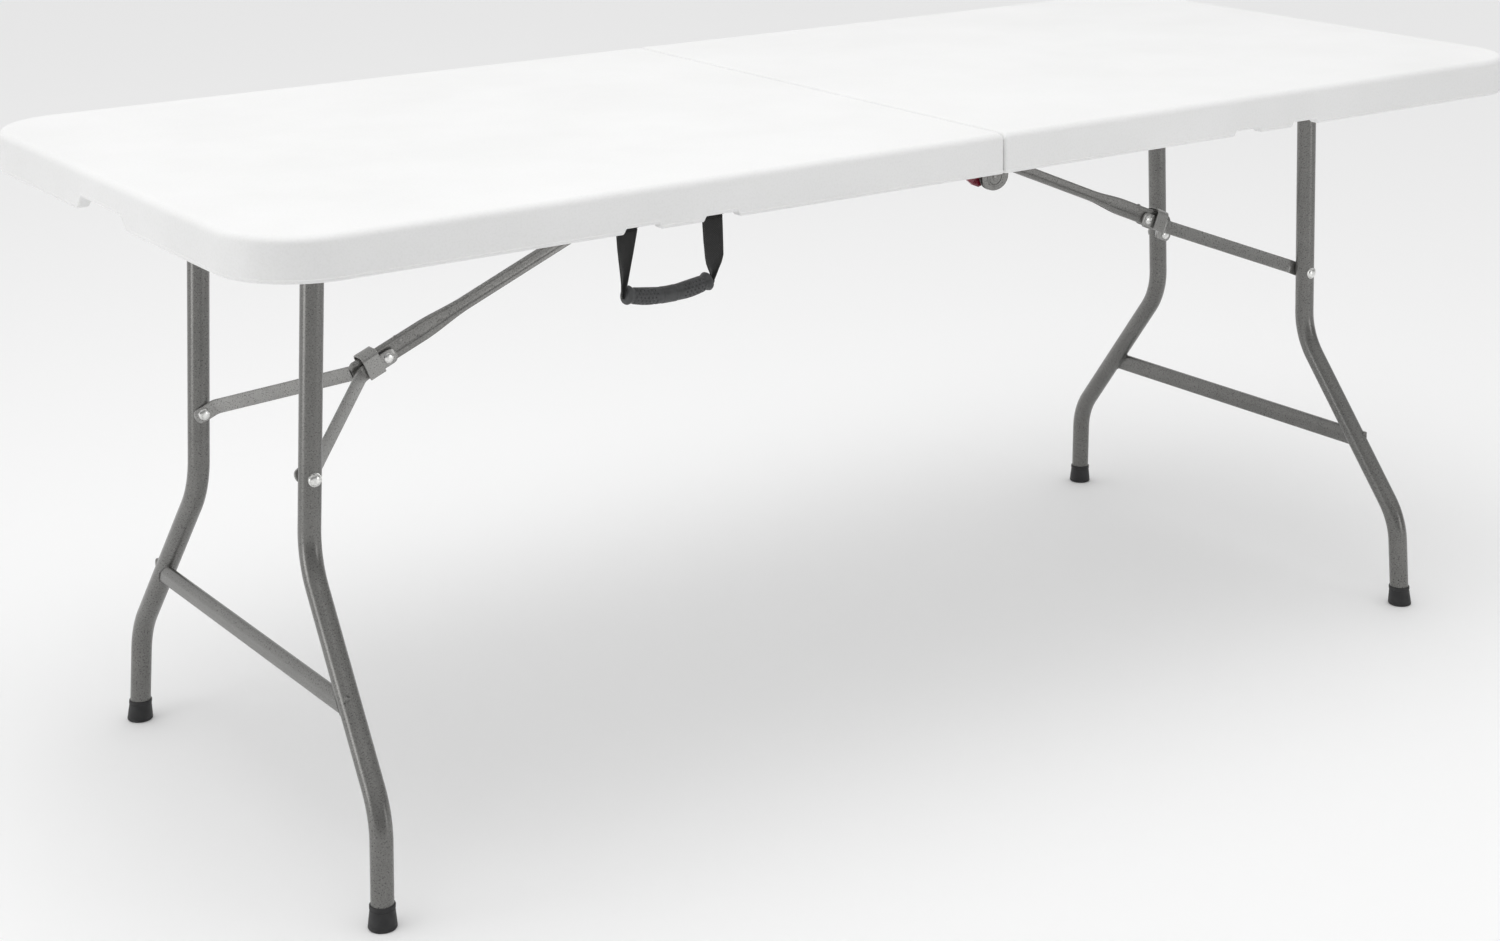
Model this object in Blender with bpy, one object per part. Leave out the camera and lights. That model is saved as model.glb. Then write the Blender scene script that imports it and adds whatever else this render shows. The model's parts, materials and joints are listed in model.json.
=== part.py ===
"""Bi-fold utility table: a moulded top in two halves on two folding, brace-locked steel leg frames.

Metres, +Z up. The origin is on the floor under the middle of the table, +X runs along its length and
-Y is the side with the carry handle. SIDE is -1 for the left half and +1 for the right half.
"""

import math

import bmesh
import bpy
from mathutils import Matrix, Vector

# Overall size
LENGTH = 1.800
WIDTH = 0.755
HEIGHT = 0.755
TOP_DEPTH = 0.045
GAP = 0.0003

# Moulded top
CORNER_RADIUS = 0.090
SEAM_GAP = 0.0006
SEAM_CORNER_RADIUS = 0.004
EDGE_RADIUS = 0.009
SEAM_EDGE_RADIUS = 0.004
SKIRT_DRAFT = 0.0015
SKIRT_WALL = 0.014
PANEL_DEPTH = 0.018
SKIN = 0.003
CHANNEL_HALF_WIDTH = 0.078
CHANNEL_X = (0.026, 0.690)
CHANNEL_DEPTH = 0.0095
VENT_RADIUS = 0.003
VENT_PLACE = (0.800, 0.200)
STRAP_NOTCHES = (0.3805, 0.4775)
STRAP_NOTCH_WIDTHS = (0.047, 0.038)
STRAP_NOTCH_DEPTH = 0.0056
HAND_NOTCH_WIDTHS = (0.140, 0.104)
HAND_NOTCH_DEPTH = 0.015

# Joint axes
FOLD_Z = 0.704
LEG_PIVOT_X = 0.7295
LEG_PIVOT_Z = 0.7235
LEG_SPLAY = math.radians(4.39)
STRUT_PIVOT_X = 0.055
STRUT_PIVOT_Z = 0.7305
LEG_RIVET_DROP = 0.2838
LEG_FOLD = math.radians(93.94)

# Leg frame
TUBE_RADIUS = 0.0125
TUBE_WALL = 0.0013
LEG_Y_TOP = 0.1446
LEG_Y_FOOT = 0.3272
UPPER_BEND_DROP = 0.3746
LOWER_BEND_DROP = 0.6030
LOWER_BEND_Y = 0.3189
BEND_RADIUS = 0.100
CAP_HEIGHT = 0.027
CAP_RADII = (0.0156, 0.0138)
CAP_FLOOR = 0.005
CROSSBAR_DROP = 0.5055
CROSSBAR_OFFSET = 0.0055
CROSSBAR_SIZE = (0.010, 0.025)
CROSSBAR_WALL = 0.0012
CROSSBAR_UNCUT_HALF = 0.250
PIVOT_TUBE_HALF = 0.334
PIVOT_NECK_RADIUS = 0.003
PIVOT_NECK_END = 0.3612

# Side rails and centre hinges
RAIL_WEB_Y = (0.3575, 0.3590)
RAIL_FLANGE_Y = 0.341
RAIL_Z = (0.7148, 0.7365)
RAIL_THICKNESS = 0.0015
RAIL_X = (0.022, 0.800)
BUSH_HOLE_RADIUS = 0.0052
BUSH_FLANGE_RADIUS = 0.0080
BUSH_Y = (0.3548, 0.3600)
HINGE_DISC = (0.0190, 0.0155)  # half width and half height of the plate's hanging end
HINGE_REACH = 0.086
HINGE_LEFT_Y = (0.3552, 0.3572)
HINGE_RIGHT_Y = (0.3593, 0.3613)
HINGE_PIN_RADIUS = 0.004
HINGE_PIN_END = 0.3622
HINGE_PIN_HEAD = ((0.0, 0.0070), (0.0012, 0.0070), (0.0022, 0.0055), (0.0026, 0.0025))  # height and radius
HINGE_WASHER_RADIUS = 0.0095
HINGE_ARM_Z = (0.7165, 0.7340)
HINGE_ARM_CORNER = 0.006

# Knee brace
STRUT_HALF_WIDTH = 0.0045
STRUT_WALL = 0.0015
STRUT_NARROW = (0.0073, -0.0073)
STRUT_WIDE = (0.0108, -0.0118)
STRUT_LIFT = 0.004  # how far the strut's middle runs above the knee rivet
STRUT_ROLL = 0.0016
STRUT_TAPER = (0.110, 0.068)
STRUT_NOSE = 0.045
STRUT_TAIL = 0.010
STOP_BUMP_RUN = 0.020  # from the knee towards the pivot
BRACKET_EAR_Y = (0.0057, 0.0075)
BRACKET_LOW = 0.7215
BRACKET_HALF_LENGTH = 0.012
ARM_THICKNESS = 0.0028
ARM_Y = (STRUT_HALF_WIDTH + GAP, STRUT_HALF_WIDTH + GAP + ARM_THICKNESS)
ARM_HALF_HEIGHT = 0.009
ARM_PARALLEL = 0.036
ARM_LEG_FLAT = 0.016
ARM_END = 0.011
RIVET_RADIUS = 0.003
RIVET_HOLE = RIVET_RADIUS + GAP
KNEE_HEAD = (0.0062, 0.0018)  # radius and height
ARM_HEAD = (0.0070, 0.0030)
LEG_HEAD = (0.0070, 0.0032)
PIN_HEAD = (0.0058, 0.0020)
RING_WALL_Y = (0.0101, 0.0116)
RING_LENGTH = 0.021
RING_PLACE = 0.0205
RING_Z = (-0.0100, 0.0174, 0.0190)  # foot, underside of the roof and top
RING_CORNER = 0.0040

# Carry handle and latch
HANDLE_Y = -0.352
HANDLE_Z = 0.7128
BAIL_RADIUS = 0.002
BAIL_BEND = 0.004
BAIL_ENDS = (-0.505, -0.352)
STRAP_CENTRES = (-0.4815, -0.3765)
STRAP_WIDTH = 0.025
STRAP_THICKNESS = 0.0016
STRAP_END_OFFSET = 0.0039
STRAP_GATHERED = (0.0024, 0.0030)  # half width and half thickness at the grip
GRIP_ENDS = (-0.4850, -0.3815)
GRIP_Z = 0.6435
GRIP_SAG = 0.0075
GRIP_RADIUS = 0.0090
GRIP_BEAD_RADII = (0.0085, 0.0104)
LATCH_PIVOT = (-0.0400, 0.7195)
LATCH_Y = (0.3508, 0.3548)
LATCH_EYE_RADIUS = 0.0075
LATCH_BORE = 0.0028
LATCH_FINGER = (
    (-0.0440, 0.7105), (-0.0260, 0.6965), (-0.0190, 0.6937),
    (-0.0150, 0.6947), (-0.0148, 0.7010), (-0.0290, 0.7185),
)
LATCH_PIN_RADIUS = 0.0025
LATCH_PIN_END = 0.3549
LATCH_PIN_HEAD = ((0.0, 0.0046), (0.0014, 0.0046), (0.0020, 0.0036))  # height and radius

ROUND = 20
TUBE_SIDES = 16
BEND_STEPS = 4
TOP_Z = HEIGHT
SKIRT_Z = HEIGHT - TOP_DEPTH
SKIN_Z = HEIGHT - PANEL_DEPTH
CHANNEL_Z = SKIN_Z + CHANNEL_DEPTH
LEFT, RIGHT = -1, 1


def clear_scene():
    for old in list(bpy.data.objects):
        bpy.data.objects.remove(old, do_unlink=True)


def material(name, colour, roughness, metallic):
    made = bpy.data.materials.new(name)
    made.use_nodes = True
    shader = made.node_tree.nodes["Principled BSDF"]
    shader.inputs["Base Color"].default_value = (*colour, 1.0)
    shader.inputs["Roughness"].default_value = roughness
    shader.inputs["Metallic"].default_value = metallic
    made.diffuse_color = (*colour, 1.0)
    return made


def joint_empty(name, location, parent=None):
    """An empty on a joint's axis, which carries the pieces of one moving body."""
    empty = bpy.data.objects.new(name, None)
    bpy.context.collection.objects.link(empty)
    empty.location = location
    if parent is not None:
        empty.parent = parent
        empty.location = Vector(location) - world_place(parent)
    return empty


def world_place(obj):
    place = obj.location.copy()
    while obj.parent is not None:
        obj = obj.parent
        place += obj.location
    return place


def piece(name, points, faces, finish, body=None, smooth_angle=35.0):
    """Makes one closed mesh from world points, hung on its body's empty, with its faces turned outwards."""
    origin = world_place(body) if body is not None else Vector((0, 0, 0))
    mesh = bpy.data.meshes.new(name)
    mesh.from_pydata([Vector(p) - origin for p in points], [], faces)
    shape = bmesh.new()
    shape.from_mesh(mesh)
    bmesh.ops.recalc_face_normals(shape, faces=shape.faces)
    if shape.calc_volume(signed=True) < 0:
        bmesh.ops.reverse_faces(shape, faces=shape.faces)
    shape.to_mesh(mesh)
    shape.free()
    mesh.shade_smooth()
    mesh.set_sharp_from_angle(angle=math.radians(smooth_angle))
    obj = bpy.data.objects.new(name, mesh)
    bpy.context.collection.objects.link(obj)
    obj.parent = body
    if finish is not None:
        mesh.materials.append(finish)
    return obj


def cut(target, name, points, faces, operation="DIFFERENCE"):
    """Applies a Boolean to the target with a hidden helper solid, given in world points."""
    helper = piece(name, points, faces, None, target.parent)
    hide(helper)
    boolean = target.modifiers.new(name, "BOOLEAN")
    boolean.operation = operation
    boolean.solver = "EXACT"
    boolean.object = helper
    return helper


def hide(helper):
    helper.hide_render = True
    helper.display_type = "WIRE"


def loft(rings, closed=False):
    """Joins rings of equal point count: an open loft is capped at both ends, a closed one comes round."""
    count = len(rings[0])
    points = [p for ring in rings for p in ring]
    faces = []
    spans = len(rings) if closed else len(rings) - 1
    for i in range(spans):
        here = i * count
        there = ((i + 1) % len(rings)) * count
        for j in range(count):
            k = (j + 1) % count
            faces.append((here + j, here + k, there + k, there + j))
    if not closed:
        faces.append(tuple(range(count - 1, -1, -1)))
        faces.append(tuple((len(rings) - 1) * count + j for j in range(count)))
    return points, faces


def joined(*shapes):
    """Several separate closed shapes as one helper mesh."""
    points, faces = [], []
    for more_points, more_faces in shapes:
        start = len(points)
        points.extend(more_points)
        faces.extend(tuple(start + i for i in face) for face in more_faces)
    return points, faces


def box(low, high):
    (x0, y0, z0), (x1, y1, z1) = low, high
    return loft([[(x, y0, z0), (x, y1, z0), (x, y1, z1), (x, y0, z1)] for x in (x0, x1)])


def span(a, b):
    return (min(a, b), max(a, b))


def side_box(side, x, y, z):
    """A box given by outward x, then y and z."""
    x0, x1 = span(side * x[0], side * x[1])
    return box((x0, y[0], z[0]), (x1, y[1], z[1]))


def disc(centre, along, radius, count):
    """Points of a circle round the direction along."""
    along = Vector(along).normalized()
    first = along.orthogonal().normalized() if abs(along.y) < 0.9 else Vector((1, 0, 0))
    first = (first - along * first.dot(along)).normalized()
    second = along.cross(first)
    turns = [2 * math.pi * i / count for i in range(count)]
    return [Vector(centre) + radius * (math.cos(t) * first + math.sin(t) * second) for t in turns]


def turned(centre, along, profile, count=ROUND, hollow=False):
    """A turned piece: profile lists (distance along the axis, radius). A hollow one closes its profile."""
    along = Vector(along).normalized()
    rings = [disc(Vector(centre) + along * t, along, r, count) for t, r in profile]
    return loft(rings, closed=hollow)


def dome(start, radius, height, steps=3):
    """Profile of a domed rivet head from its flat side to near its crown."""
    angles = [math.pi / 2 * i / (steps + 0.4) for i in range(steps + 1)]
    return [(start + height * math.sin(a), radius * math.cos(a)) for a in angles]


def rounded_path(corners, radius, steps):
    """A polyline with each inner corner replaced by an arc."""
    path = [Vector(corners[0])]
    for before, corner, after in zip(corners, corners[1:], corners[2:]):
        before, corner, after = Vector(before), Vector(corner), Vector(after)
        inward = (before - corner).normalized()
        outward = (after - corner).normalized()
        half = inward.angle(outward) / 2
        bisector = (inward + outward).normalized()
        centre = corner + bisector * (radius / math.sin(half))
        start = corner + inward * (radius / math.tan(half)) - centre
        end = corner + outward * (radius / math.tan(half)) - centre
        turn = start.angle(end)
        for i in range(steps + 1):
            share = i / steps
            arm = (math.sin((1 - share) * turn) * start + math.sin(share * turn) * end) / math.sin(turn)
            path.append(centre + arm)
    path.append(Vector(corners[-1]))
    return path


def sweep(path, section, flat_normal):
    """Rings of a 2D section carried along a path that lies in a plane with the given normal."""
    normal = Vector(flat_normal).normalized()
    rings = []
    for i, place in enumerate(path):
        before = path[max(i - 1, 0)]
        after = path[min(i + 1, len(path) - 1)]
        along = (after - before).normalized()
        across = normal.cross(along).normalized()
        stretch = 1.0
        if 0 < i < len(path) - 1:
            first = (place - before).normalized()
            stretch = 1.0 / max(first.dot(along), 0.5)
        rings.append([place + across * (a * stretch) + normal * b for a, b in section])
    return rings


def circle(radius, count):
    return [
        (radius * math.cos(2 * math.pi * i / count), radius * math.sin(2 * math.pi * i / count))
        for i in range(count)
    ]


def tube_along(path, radius, wall, flat_normal):
    """An open-ended tube: the outer skin one way and the bore back the other."""
    outer = sweep(path, circle(radius, TUBE_SIDES), flat_normal)
    inner = sweep(path, circle(radius - wall, TUBE_SIDES), flat_normal)
    return loft(outer + inner[::-1], closed=True)


def prism_y(outline, y):
    """An outline of (x, z) points extruded between two y planes."""
    return loft([[(px, level, pz) for px, pz in outline] for level in y])


def arc(centre, radius, start, end, steps):
    """Points of an arc in degrees, in the order of the outline."""
    turns = [math.radians(start + (end - start) * i / steps) for i in range(steps + 1)]
    return [(centre[0] + radius * math.cos(t), centre[1] + radius * math.sin(t)) for t in turns]


# ---------------------------------------------------------------------------------------- moulded top


def top_outline(side, inset, seam_inset, z):
    """Plan outline of one half at height z: large outer corners and small ones at the seam."""
    outer_x = LENGTH / 2 - inset
    seam_x = SEAM_GAP + seam_inset
    half_y = WIDTH / 2 - inset
    big = CORNER_RADIUS - inset
    small = SEAM_CORNER_RADIUS
    corners = (
        ((outer_x - big, half_y - big), big, 0, 90, 9),
        ((seam_x + small, half_y - small), small, 90, 180, 3),
        ((seam_x + small, small - half_y), small, 180, 270, 3),
        ((outer_x - big, big - half_y), big, 270, 360, 9),
    )
    flat = [p for centre, r, start, end, steps in corners for p in arc(centre, r, start, end, steps)]
    return [(side * x, y, z) for x, y in flat]


def plain_outline(side, x, half_y, radius, z):
    """Rounded rectangle of the hollows: square at the seam end, rounded at the outer end."""
    flat = arc((x[1] - radius, half_y - radius), radius, 0, 90, 7)
    flat += [(x[0], half_y), (x[0], -half_y)]
    flat += arc((x[1] - radius, radius - half_y), radius, 270, 360, 7)
    return [(side * px, py, z) for px, py in flat]


def notch_prism(centre, widths, depth, along_x, reach):
    """A trapezoid notch cutter in a skirt, from just below its edge. along_x: the notch runs along X."""
    below = 0.004
    low = SKIRT_Z - below
    high = SKIRT_Z + depth
    flare = (widths[0] - widths[1]) / 2 * below / depth
    half = (widths[0] / 2 + flare, widths[1] / 2)
    section = [(-half[0], low), (half[0], low), (half[1], high), (-half[1], high)]
    rings = []
    for level in reach:
        if along_x:
            rings.append([(centre + s, level, z) for s, z in section])
        else:
            rings.append([(level, centre + s, z) for s, z in section])
    return loft(rings)


def moulded_top(name, side, finish, body):
    """One hollow half: two thin skins, a thick skirt and a moulded channel that takes the folded brace."""
    draft = SKIRT_DRAFT
    rings = [top_outline(side, 0.0015, 0.0010, SKIRT_Z), top_outline(side, 0.0, 0.0, SKIRT_Z + 0.0015)]
    for i in range(6):
        turn = math.pi / 2 * i / 5
        inset = draft + EDGE_RADIUS * (1 - math.cos(turn))
        seam_inset = SEAM_EDGE_RADIUS * (1 - math.cos(turn))
        rings.append(top_outline(side, inset, seam_inset, TOP_Z - EDGE_RADIUS * (1 - math.sin(turn))))
    top = piece(name, *loft(rings), finish, body)

    half_y = WIDTH / 2 - SKIRT_WALL
    reach = (-0.010, LENGTH / 2 - SKIRT_WALL)
    radius = CORNER_RADIUS - SKIRT_WALL
    hollow = [plain_outline(side, reach, half_y, radius, z) for z in (SKIRT_Z - 0.010, SKIN_Z)]
    cut(top, name + "_cavity_cutter", *loft(hollow))

    channel = side_box(
        side, CHANNEL_X, (-CHANNEL_HALF_WIDTH, CHANNEL_HALF_WIDTH), (SKIRT_Z - 0.005, CHANNEL_Z)
    )
    cut(top, name + "_channel_cutter", *channel)

    inset = SKIRT_WALL
    void_reach = (SEAM_GAP + inset / 2, LENGTH / 2 - inset)
    void_z = (SKIN_Z + SKIN, TOP_Z - SKIN)
    slab = [
        plain_outline(side, void_reach, WIDTH / 2 - inset, CORNER_RADIUS - inset, z) for z in void_z
    ]
    void = cut(top, name + "_void_cutter", *loft(slab))
    core_x = (CHANNEL_X[0] - SKIN, CHANNEL_X[1] + SKIN)
    core_y = CHANNEL_HALF_WIDTH + SKIN
    cut(void, name + "_void_core", *side_box(side, core_x, (-core_y, core_y), (SKIRT_Z, TOP_Z + SKIN)))
    hole = [(0, VENT_RADIUS), (0.008, VENT_RADIUS)]
    vent = turned((side * VENT_PLACE[0], VENT_PLACE[1], SKIN_Z - 0.002), (0, 0, 1), hole, 12)
    cut(top, name + "_vent_cutter", *vent)

    through = SKIRT_WALL + 0.006
    notches = []
    for near in (-1, 1):
        reach_y = span(near * (WIDTH / 2 + 0.003), near * (WIDTH / 2 + 0.003 - through))
        for x in STRAP_NOTCHES:
            notches.append(notch_prism(side * x, STRAP_NOTCH_WIDTHS, STRAP_NOTCH_DEPTH, True, reach_y))
    reach_x = span(side * (LENGTH / 2 + 0.003), side * (LENGTH / 2 + 0.003 - through))
    notches.append(notch_prism(0.0, HAND_NOTCH_WIDTHS, HAND_NOTCH_DEPTH, False, reach_x))
    cut(top, name + "_notch_cutter", *joined(*notches))
    return top


# ------------------------------------------------------------------------------ rails and centre hinge


def side_rail(name, side, near, finish, body):
    """An L-section rail under one long edge, holed for the leg pivot's bush. near is -1 at the front."""
    web, outer = RAIL_WEB_Y
    low, high = RAIL_Z
    thick = RAIL_THICKNESS
    section = [(web, low), (outer, low), (outer, high), (RAIL_FLANGE_Y, high), (RAIL_FLANGE_Y, high - thick),
               (web, high - thick)]
    rail = piece(name, *loft([[(side * x, near * y, z) for y, z in section] for x in RAIL_X]), finish, body)
    hole = [(-0.004, BUSH_HOLE_RADIUS), (0.004, BUSH_HOLE_RADIUS)]
    centre = (side * LEG_PIVOT_X, near * web, LEG_PIVOT_Z)
    cut(rail, name + "_bush_cutter", *turned(centre, (0, 1, 0), hole))
    return rail


def pivot_bush(name, side, near, finish, body):
    """A flanged plastic bush in the rail's hole."""
    flange = RAIL_WEB_Y[0] - 0.0004
    sleeve = BUSH_HOLE_RADIUS - GAP
    bore = PIVOT_NECK_RADIUS + GAP
    start, end = BUSH_Y
    wide = BUSH_FLANGE_RADIUS
    profile = [(start, bore), (start, wide), (flange, wide), (flange, sleeve), (end, sleeve), (end, bore)]
    centre = (side * LEG_PIVOT_X, 0, LEG_PIVOT_Z)
    return piece(name, *turned(centre, (0, near, 0), profile, hollow=True), finish, body)


def hinge_plate(name, side, near, y, finish, body):
    """A flat plate: its round end hangs below the skirt on the fold's axis, its arm lies on the rail."""
    arm_low, arm_high = HINGE_ARM_Z
    end, corner = HINGE_REACH - HINGE_ARM_CORNER, HINGE_ARM_CORNER
    wide, tall = HINGE_DISC
    round_end = arc((0.0, 0.0), 1.0, 180, 405, 18)
    outline = [(-wide * a, FOLD_Z + tall * b) for a, b in round_end[::-1]]
    outline += [(wide, arm_low - 0.002), (wide + 0.003, arm_low)]
    outline += arc((end, arm_low + corner), corner, 270, 360, 3)
    outline += arc((end, arm_high - corner), corner, 0, 90, 3)
    outline += [(0.004, arm_high), (-0.006, arm_high - 0.008)]
    outline = [(side * x, z) for x, z in outline]
    plate = piece(name, *prism_y(outline, span(near * y[0], near * y[1])), finish, body)
    hole = [(-0.005, HINGE_PIN_RADIUS + GAP), (0.005, HINGE_PIN_RADIUS + GAP)]
    cut(plate, name + "_hole_cutter", *turned((0, near * y[0], FOLD_Z), (0, 1, 0), hole))
    return plate


def hinge_pin(name, near, finish, body):
    """A headed pin through both hinge plates."""
    head_y = HINGE_LEFT_Y[0] - GAP
    radius, end = HINGE_PIN_RADIUS, HINGE_PIN_END
    chamfer = 0.0006
    profile = [(end, radius - chamfer), (end - chamfer, radius), (head_y, radius)]
    profile += [(head_y - height, head_radius) for height, head_radius in HINGE_PIN_HEAD]
    return piece(name, *turned((0, 0, FOLD_Z), (0, near, 0), profile), finish, body)


def hinge_washer(name, near, finish, body):
    """The spacer between the two plates of a hinge."""
    start = HINGE_LEFT_Y[1] + GAP
    end = HINGE_RIGHT_Y[0] - GAP
    bore = HINGE_PIN_RADIUS + GAP
    rim = HINGE_WASHER_RADIUS
    profile = [(start, bore), (start, rim), (end, rim), (end, bore)]
    return piece(name, *turned((0, 0, FOLD_Z), (0, near, 0), profile, hollow=True), finish, body)


def strut_bracket(name, side, finish, body):
    """A U-shaped bracket under the channel's ceiling, with two ears round the strut's inner end."""
    high = CHANNEL_Z - GAP
    low = BRACKET_LOW
    inner, outer = BRACKET_EAR_Y
    thick = outer - inner
    section = [(-outer, low), (-outer, high), (outer, high), (outer, low),
               (inner, low), (inner, high - thick), (-inner, high - thick), (-inner, low)]
    ends = (STRUT_PIVOT_X - BRACKET_HALF_LENGTH, STRUT_PIVOT_X + BRACKET_HALF_LENGTH)
    bracket = piece(name, *loft([[(side * x, y, z) for y, z in section] for x in ends]), finish, body)
    hole = [(-0.02, RIVET_HOLE), (0.02, RIVET_HOLE)]
    centre = (side * STRUT_PIVOT_X, 0, STRUT_PIVOT_Z)
    cut(bracket, name + "_hole_cutter", *turned(centre, (0, 1, 0), hole))
    return bracket


def strut_pin(name, side, finish, body):
    """The headed pin that the strut turns on."""
    face = BRACKET_EAR_Y[1] + GAP
    head = dome(face, *PIN_HEAD)
    profile = [(-t, r) for t, r in head[::-1]] + [(-face, RIVET_RADIUS), (face, RIVET_RADIUS)] + head
    centre = (side * STRUT_PIVOT_X, 0, STRUT_PIVOT_Z)
    return piece(name, *turned(centre, (0, 1, 0), profile, 16), finish, body)


# ------------------------------------------------------------------------------------------ leg frame


class LegPlane:
    """The splayed plane of one leg frame: drop runs down it from the pivot, offset points outwards."""

    def __init__(self, side):
        self.down = Vector((side * math.sin(LEG_SPLAY), 0, -math.cos(LEG_SPLAY)))
        self.out = Vector((side * math.cos(LEG_SPLAY), 0, math.sin(LEG_SPLAY)))
        self.pivot = Vector((side * LEG_PIVOT_X, 0, LEG_PIVOT_Z))

    def at(self, drop, y, offset=0.0):
        return self.pivot + self.down * drop + self.out * offset + Vector((0, y, 0))

    def drop_to(self, z):
        return (LEG_PIVOT_Z - z) / math.cos(LEG_SPLAY)


def leg_path(side, near, start, foot_z):
    """Centre line of one leg tube: straight, bent outwards, slanted, nearly straight again to the foot."""
    plane = LegPlane(side)
    floor_drop = plane.drop_to(0.0)
    end_drop = plane.drop_to(foot_z)
    share = (end_drop - LOWER_BEND_DROP) / (floor_drop - LOWER_BEND_DROP)
    foot_y = LOWER_BEND_Y + (LEG_Y_FOOT - LOWER_BEND_Y) * share
    corners = [
        plane.at(start, near * LEG_Y_TOP),
        plane.at(UPPER_BEND_DROP, near * LEG_Y_TOP),
        plane.at(LOWER_BEND_DROP, near * LOWER_BEND_Y),
        plane.at(end_drop, near * foot_y),
    ]
    return rounded_path(corners, BEND_RADIUS, BEND_STEPS)


def leg_tube(name, side, near, finish, body):
    """A bent tube, saddled against the pivot tube and drilled for the brace's rivet."""
    plane = LegPlane(side)
    path = leg_path(side, near, 0.004, CAP_FLOOR + 0.0028)
    tube = piece(name, *tube_along(path, TUBE_RADIUS, TUBE_WALL, plane.out), finish, body)
    saddle = [(-0.03, TUBE_RADIUS + GAP), (0.03, TUBE_RADIUS + GAP)]
    cut(tube, name + "_saddle_cutter", *turned(plane.at(0, near * LEG_Y_TOP), (0, 1, 0), saddle, 24))
    hole = [(-0.02, RIVET_RADIUS + GAP), (0.02, RIVET_RADIUS + GAP)]
    cut(tube, name + "_rivet_cutter", *turned(leg_rivet_point(side, near), (0, 1, 0), hole, 16))
    return tube


def leg_rivet_point(side, near):
    return LegPlane(side).at(LEG_RIVET_DROP, near * LEG_Y_TOP)


def pivot_tube(name, side, finish, body):
    """The cross tube at the top of a frame, necked down at both ends to turn in the bushes."""
    half = PIVOT_TUBE_HALF
    neck = PIVOT_NECK_RADIUS
    bore = TUBE_RADIUS - TUBE_WALL
    outer = [(-PIVOT_NECK_END, neck), (-half - 0.008, neck), (-half - 0.0065, 0.005), (-half, TUBE_RADIUS),
             (half, TUBE_RADIUS), (half + 0.0065, 0.005), (half + 0.008, neck), (PIVOT_NECK_END, neck)]
    inner = [(PIVOT_NECK_END, 0.0015), (half + 0.003, 0.0015), (half - 0.002, bore), (-half + 0.002, bore),
             (-half - 0.003, 0.0015), (-PIVOT_NECK_END, 0.0015)]
    shape = turned(LegPlane(side).pivot, (0, 1, 0), outer + inner, hollow=True)
    return piece(name, *shape, finish, body)


def crossbar(name, side, finish, body):
    """A flattened tube between the slanted stretches, set outwards so that it clears the folded strut."""
    plane = LegPlane(side)
    thick, tall = CROSSBAR_SIZE
    corner = thick / 2 - 0.0004
    widen = thick / 2 / corner
    section = []
    for end, start in ((1, 0), (-1, 180)):
        centre = (0.0, end * (tall / 2 - thick / 2))
        section += [(a * widen, b) for a, b in arc(centre, corner, start, start + 180, 8)]
    bore_thick = 1 - 2 * CROSSBAR_WALL / thick
    bore_tall = 1 - 2 * CROSSBAR_WALL / tall
    bore = [(a * bore_thick, b * bore_tall) for a, b in section]
    ends = [-CROSSBAR_UNCUT_HALF, CROSSBAR_UNCUT_HALF]
    outer = [[plane.at(CROSSBAR_DROP + b, y, CROSSBAR_OFFSET + a) for a, b in section] for y in ends]
    inner = [[plane.at(CROSSBAR_DROP + b, y, CROSSBAR_OFFSET + a) for a, b in bore] for y in ends[::-1]]
    bar = piece(name, *loft(outer + inner, closed=True), finish, body)
    for near in (-1, 1):
        lean = (LOWER_BEND_Y - LEG_Y_TOP) / (LOWER_BEND_DROP - UPPER_BEND_DROP)
        centre_y = near * (LEG_Y_TOP + (CROSSBAR_DROP - UPPER_BEND_DROP) * lean)
        along = plane.at(1.0, near * lean) - plane.at(0.0, 0.0)
        saddle = [(-0.05, TUBE_RADIUS + GAP), (0.05, TUBE_RADIUS + GAP)]
        shape = turned(plane.at(CROSSBAR_DROP, centre_y), along, saddle)
        beyond = box_beyond(plane, centre_y, along, near)
        edge = "back" if near > 0 else "front"
        cut(bar, f"{name}_end_cutter_{edge}", *shape)
        cut(bar, f"{name}_tip_cutter_{edge}", *beyond)
    return bar


def box_beyond(plane, centre_y, along, near):
    """A slab that takes off what of the crossbar reaches past the middle of a slanted tube."""
    along = along.normalized()
    across = Vector((0, near, 0)) - along * (near * along.y)
    across.normalize()
    centre = plane.at(CROSSBAR_DROP, centre_y)
    rings = []
    for t in (-0.05, 0.05):
        near_edge = centre + along * t
        far_edge = near_edge + across * 0.06
        out = plane.out * 0.03
        rings.append([near_edge - out, near_edge + out, far_edge + out, far_edge - out])
    return loft(rings)


def foot_cap(name, side, near, finish, body):
    """A moulded cap, slightly conical, with a flat sole and a socket for the tube."""
    path = leg_path(side, near, 0.004, 0.0)
    foot = path[-1]
    lean = (path[-2] - path[-1]) / (path[-2] - path[-1]).z

    def level(z, radius):
        return disc(foot + lean * z, (0, 0, 1), radius, ROUND)

    wide, narrow = CAP_RADII
    rings = [level(0.0, wide - 0.0012), level(0.0012, wide), level(CAP_HEIGHT - 0.001, narrow)]
    rings += [level(CAP_HEIGHT, narrow - 0.0006), level(CAP_HEIGHT, TUBE_RADIUS + 0.0004)]
    rings += [level(CAP_FLOOR, TUBE_RADIUS + 0.0004)]
    return piece(name, *loft(rings), finish, body)


def leg_rivet(name, side, near, finish, body):
    """Rivet in the leg tube with a domed head outside; its shank ends flush with the tube, beside the arm."""
    centre = leg_rivet_point(side, near)
    flush = GAP - TUBE_RADIUS
    face = TUBE_RADIUS + GAP
    profile = [(flush, RIVET_RADIUS), (face, RIVET_RADIUS)] + dome(face, *LEG_HEAD)
    return piece(name, *turned(centre, (0, near, 0), profile, 12), finish, body)


# --------------------------------------------------------------------------------------- knee brace


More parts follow.
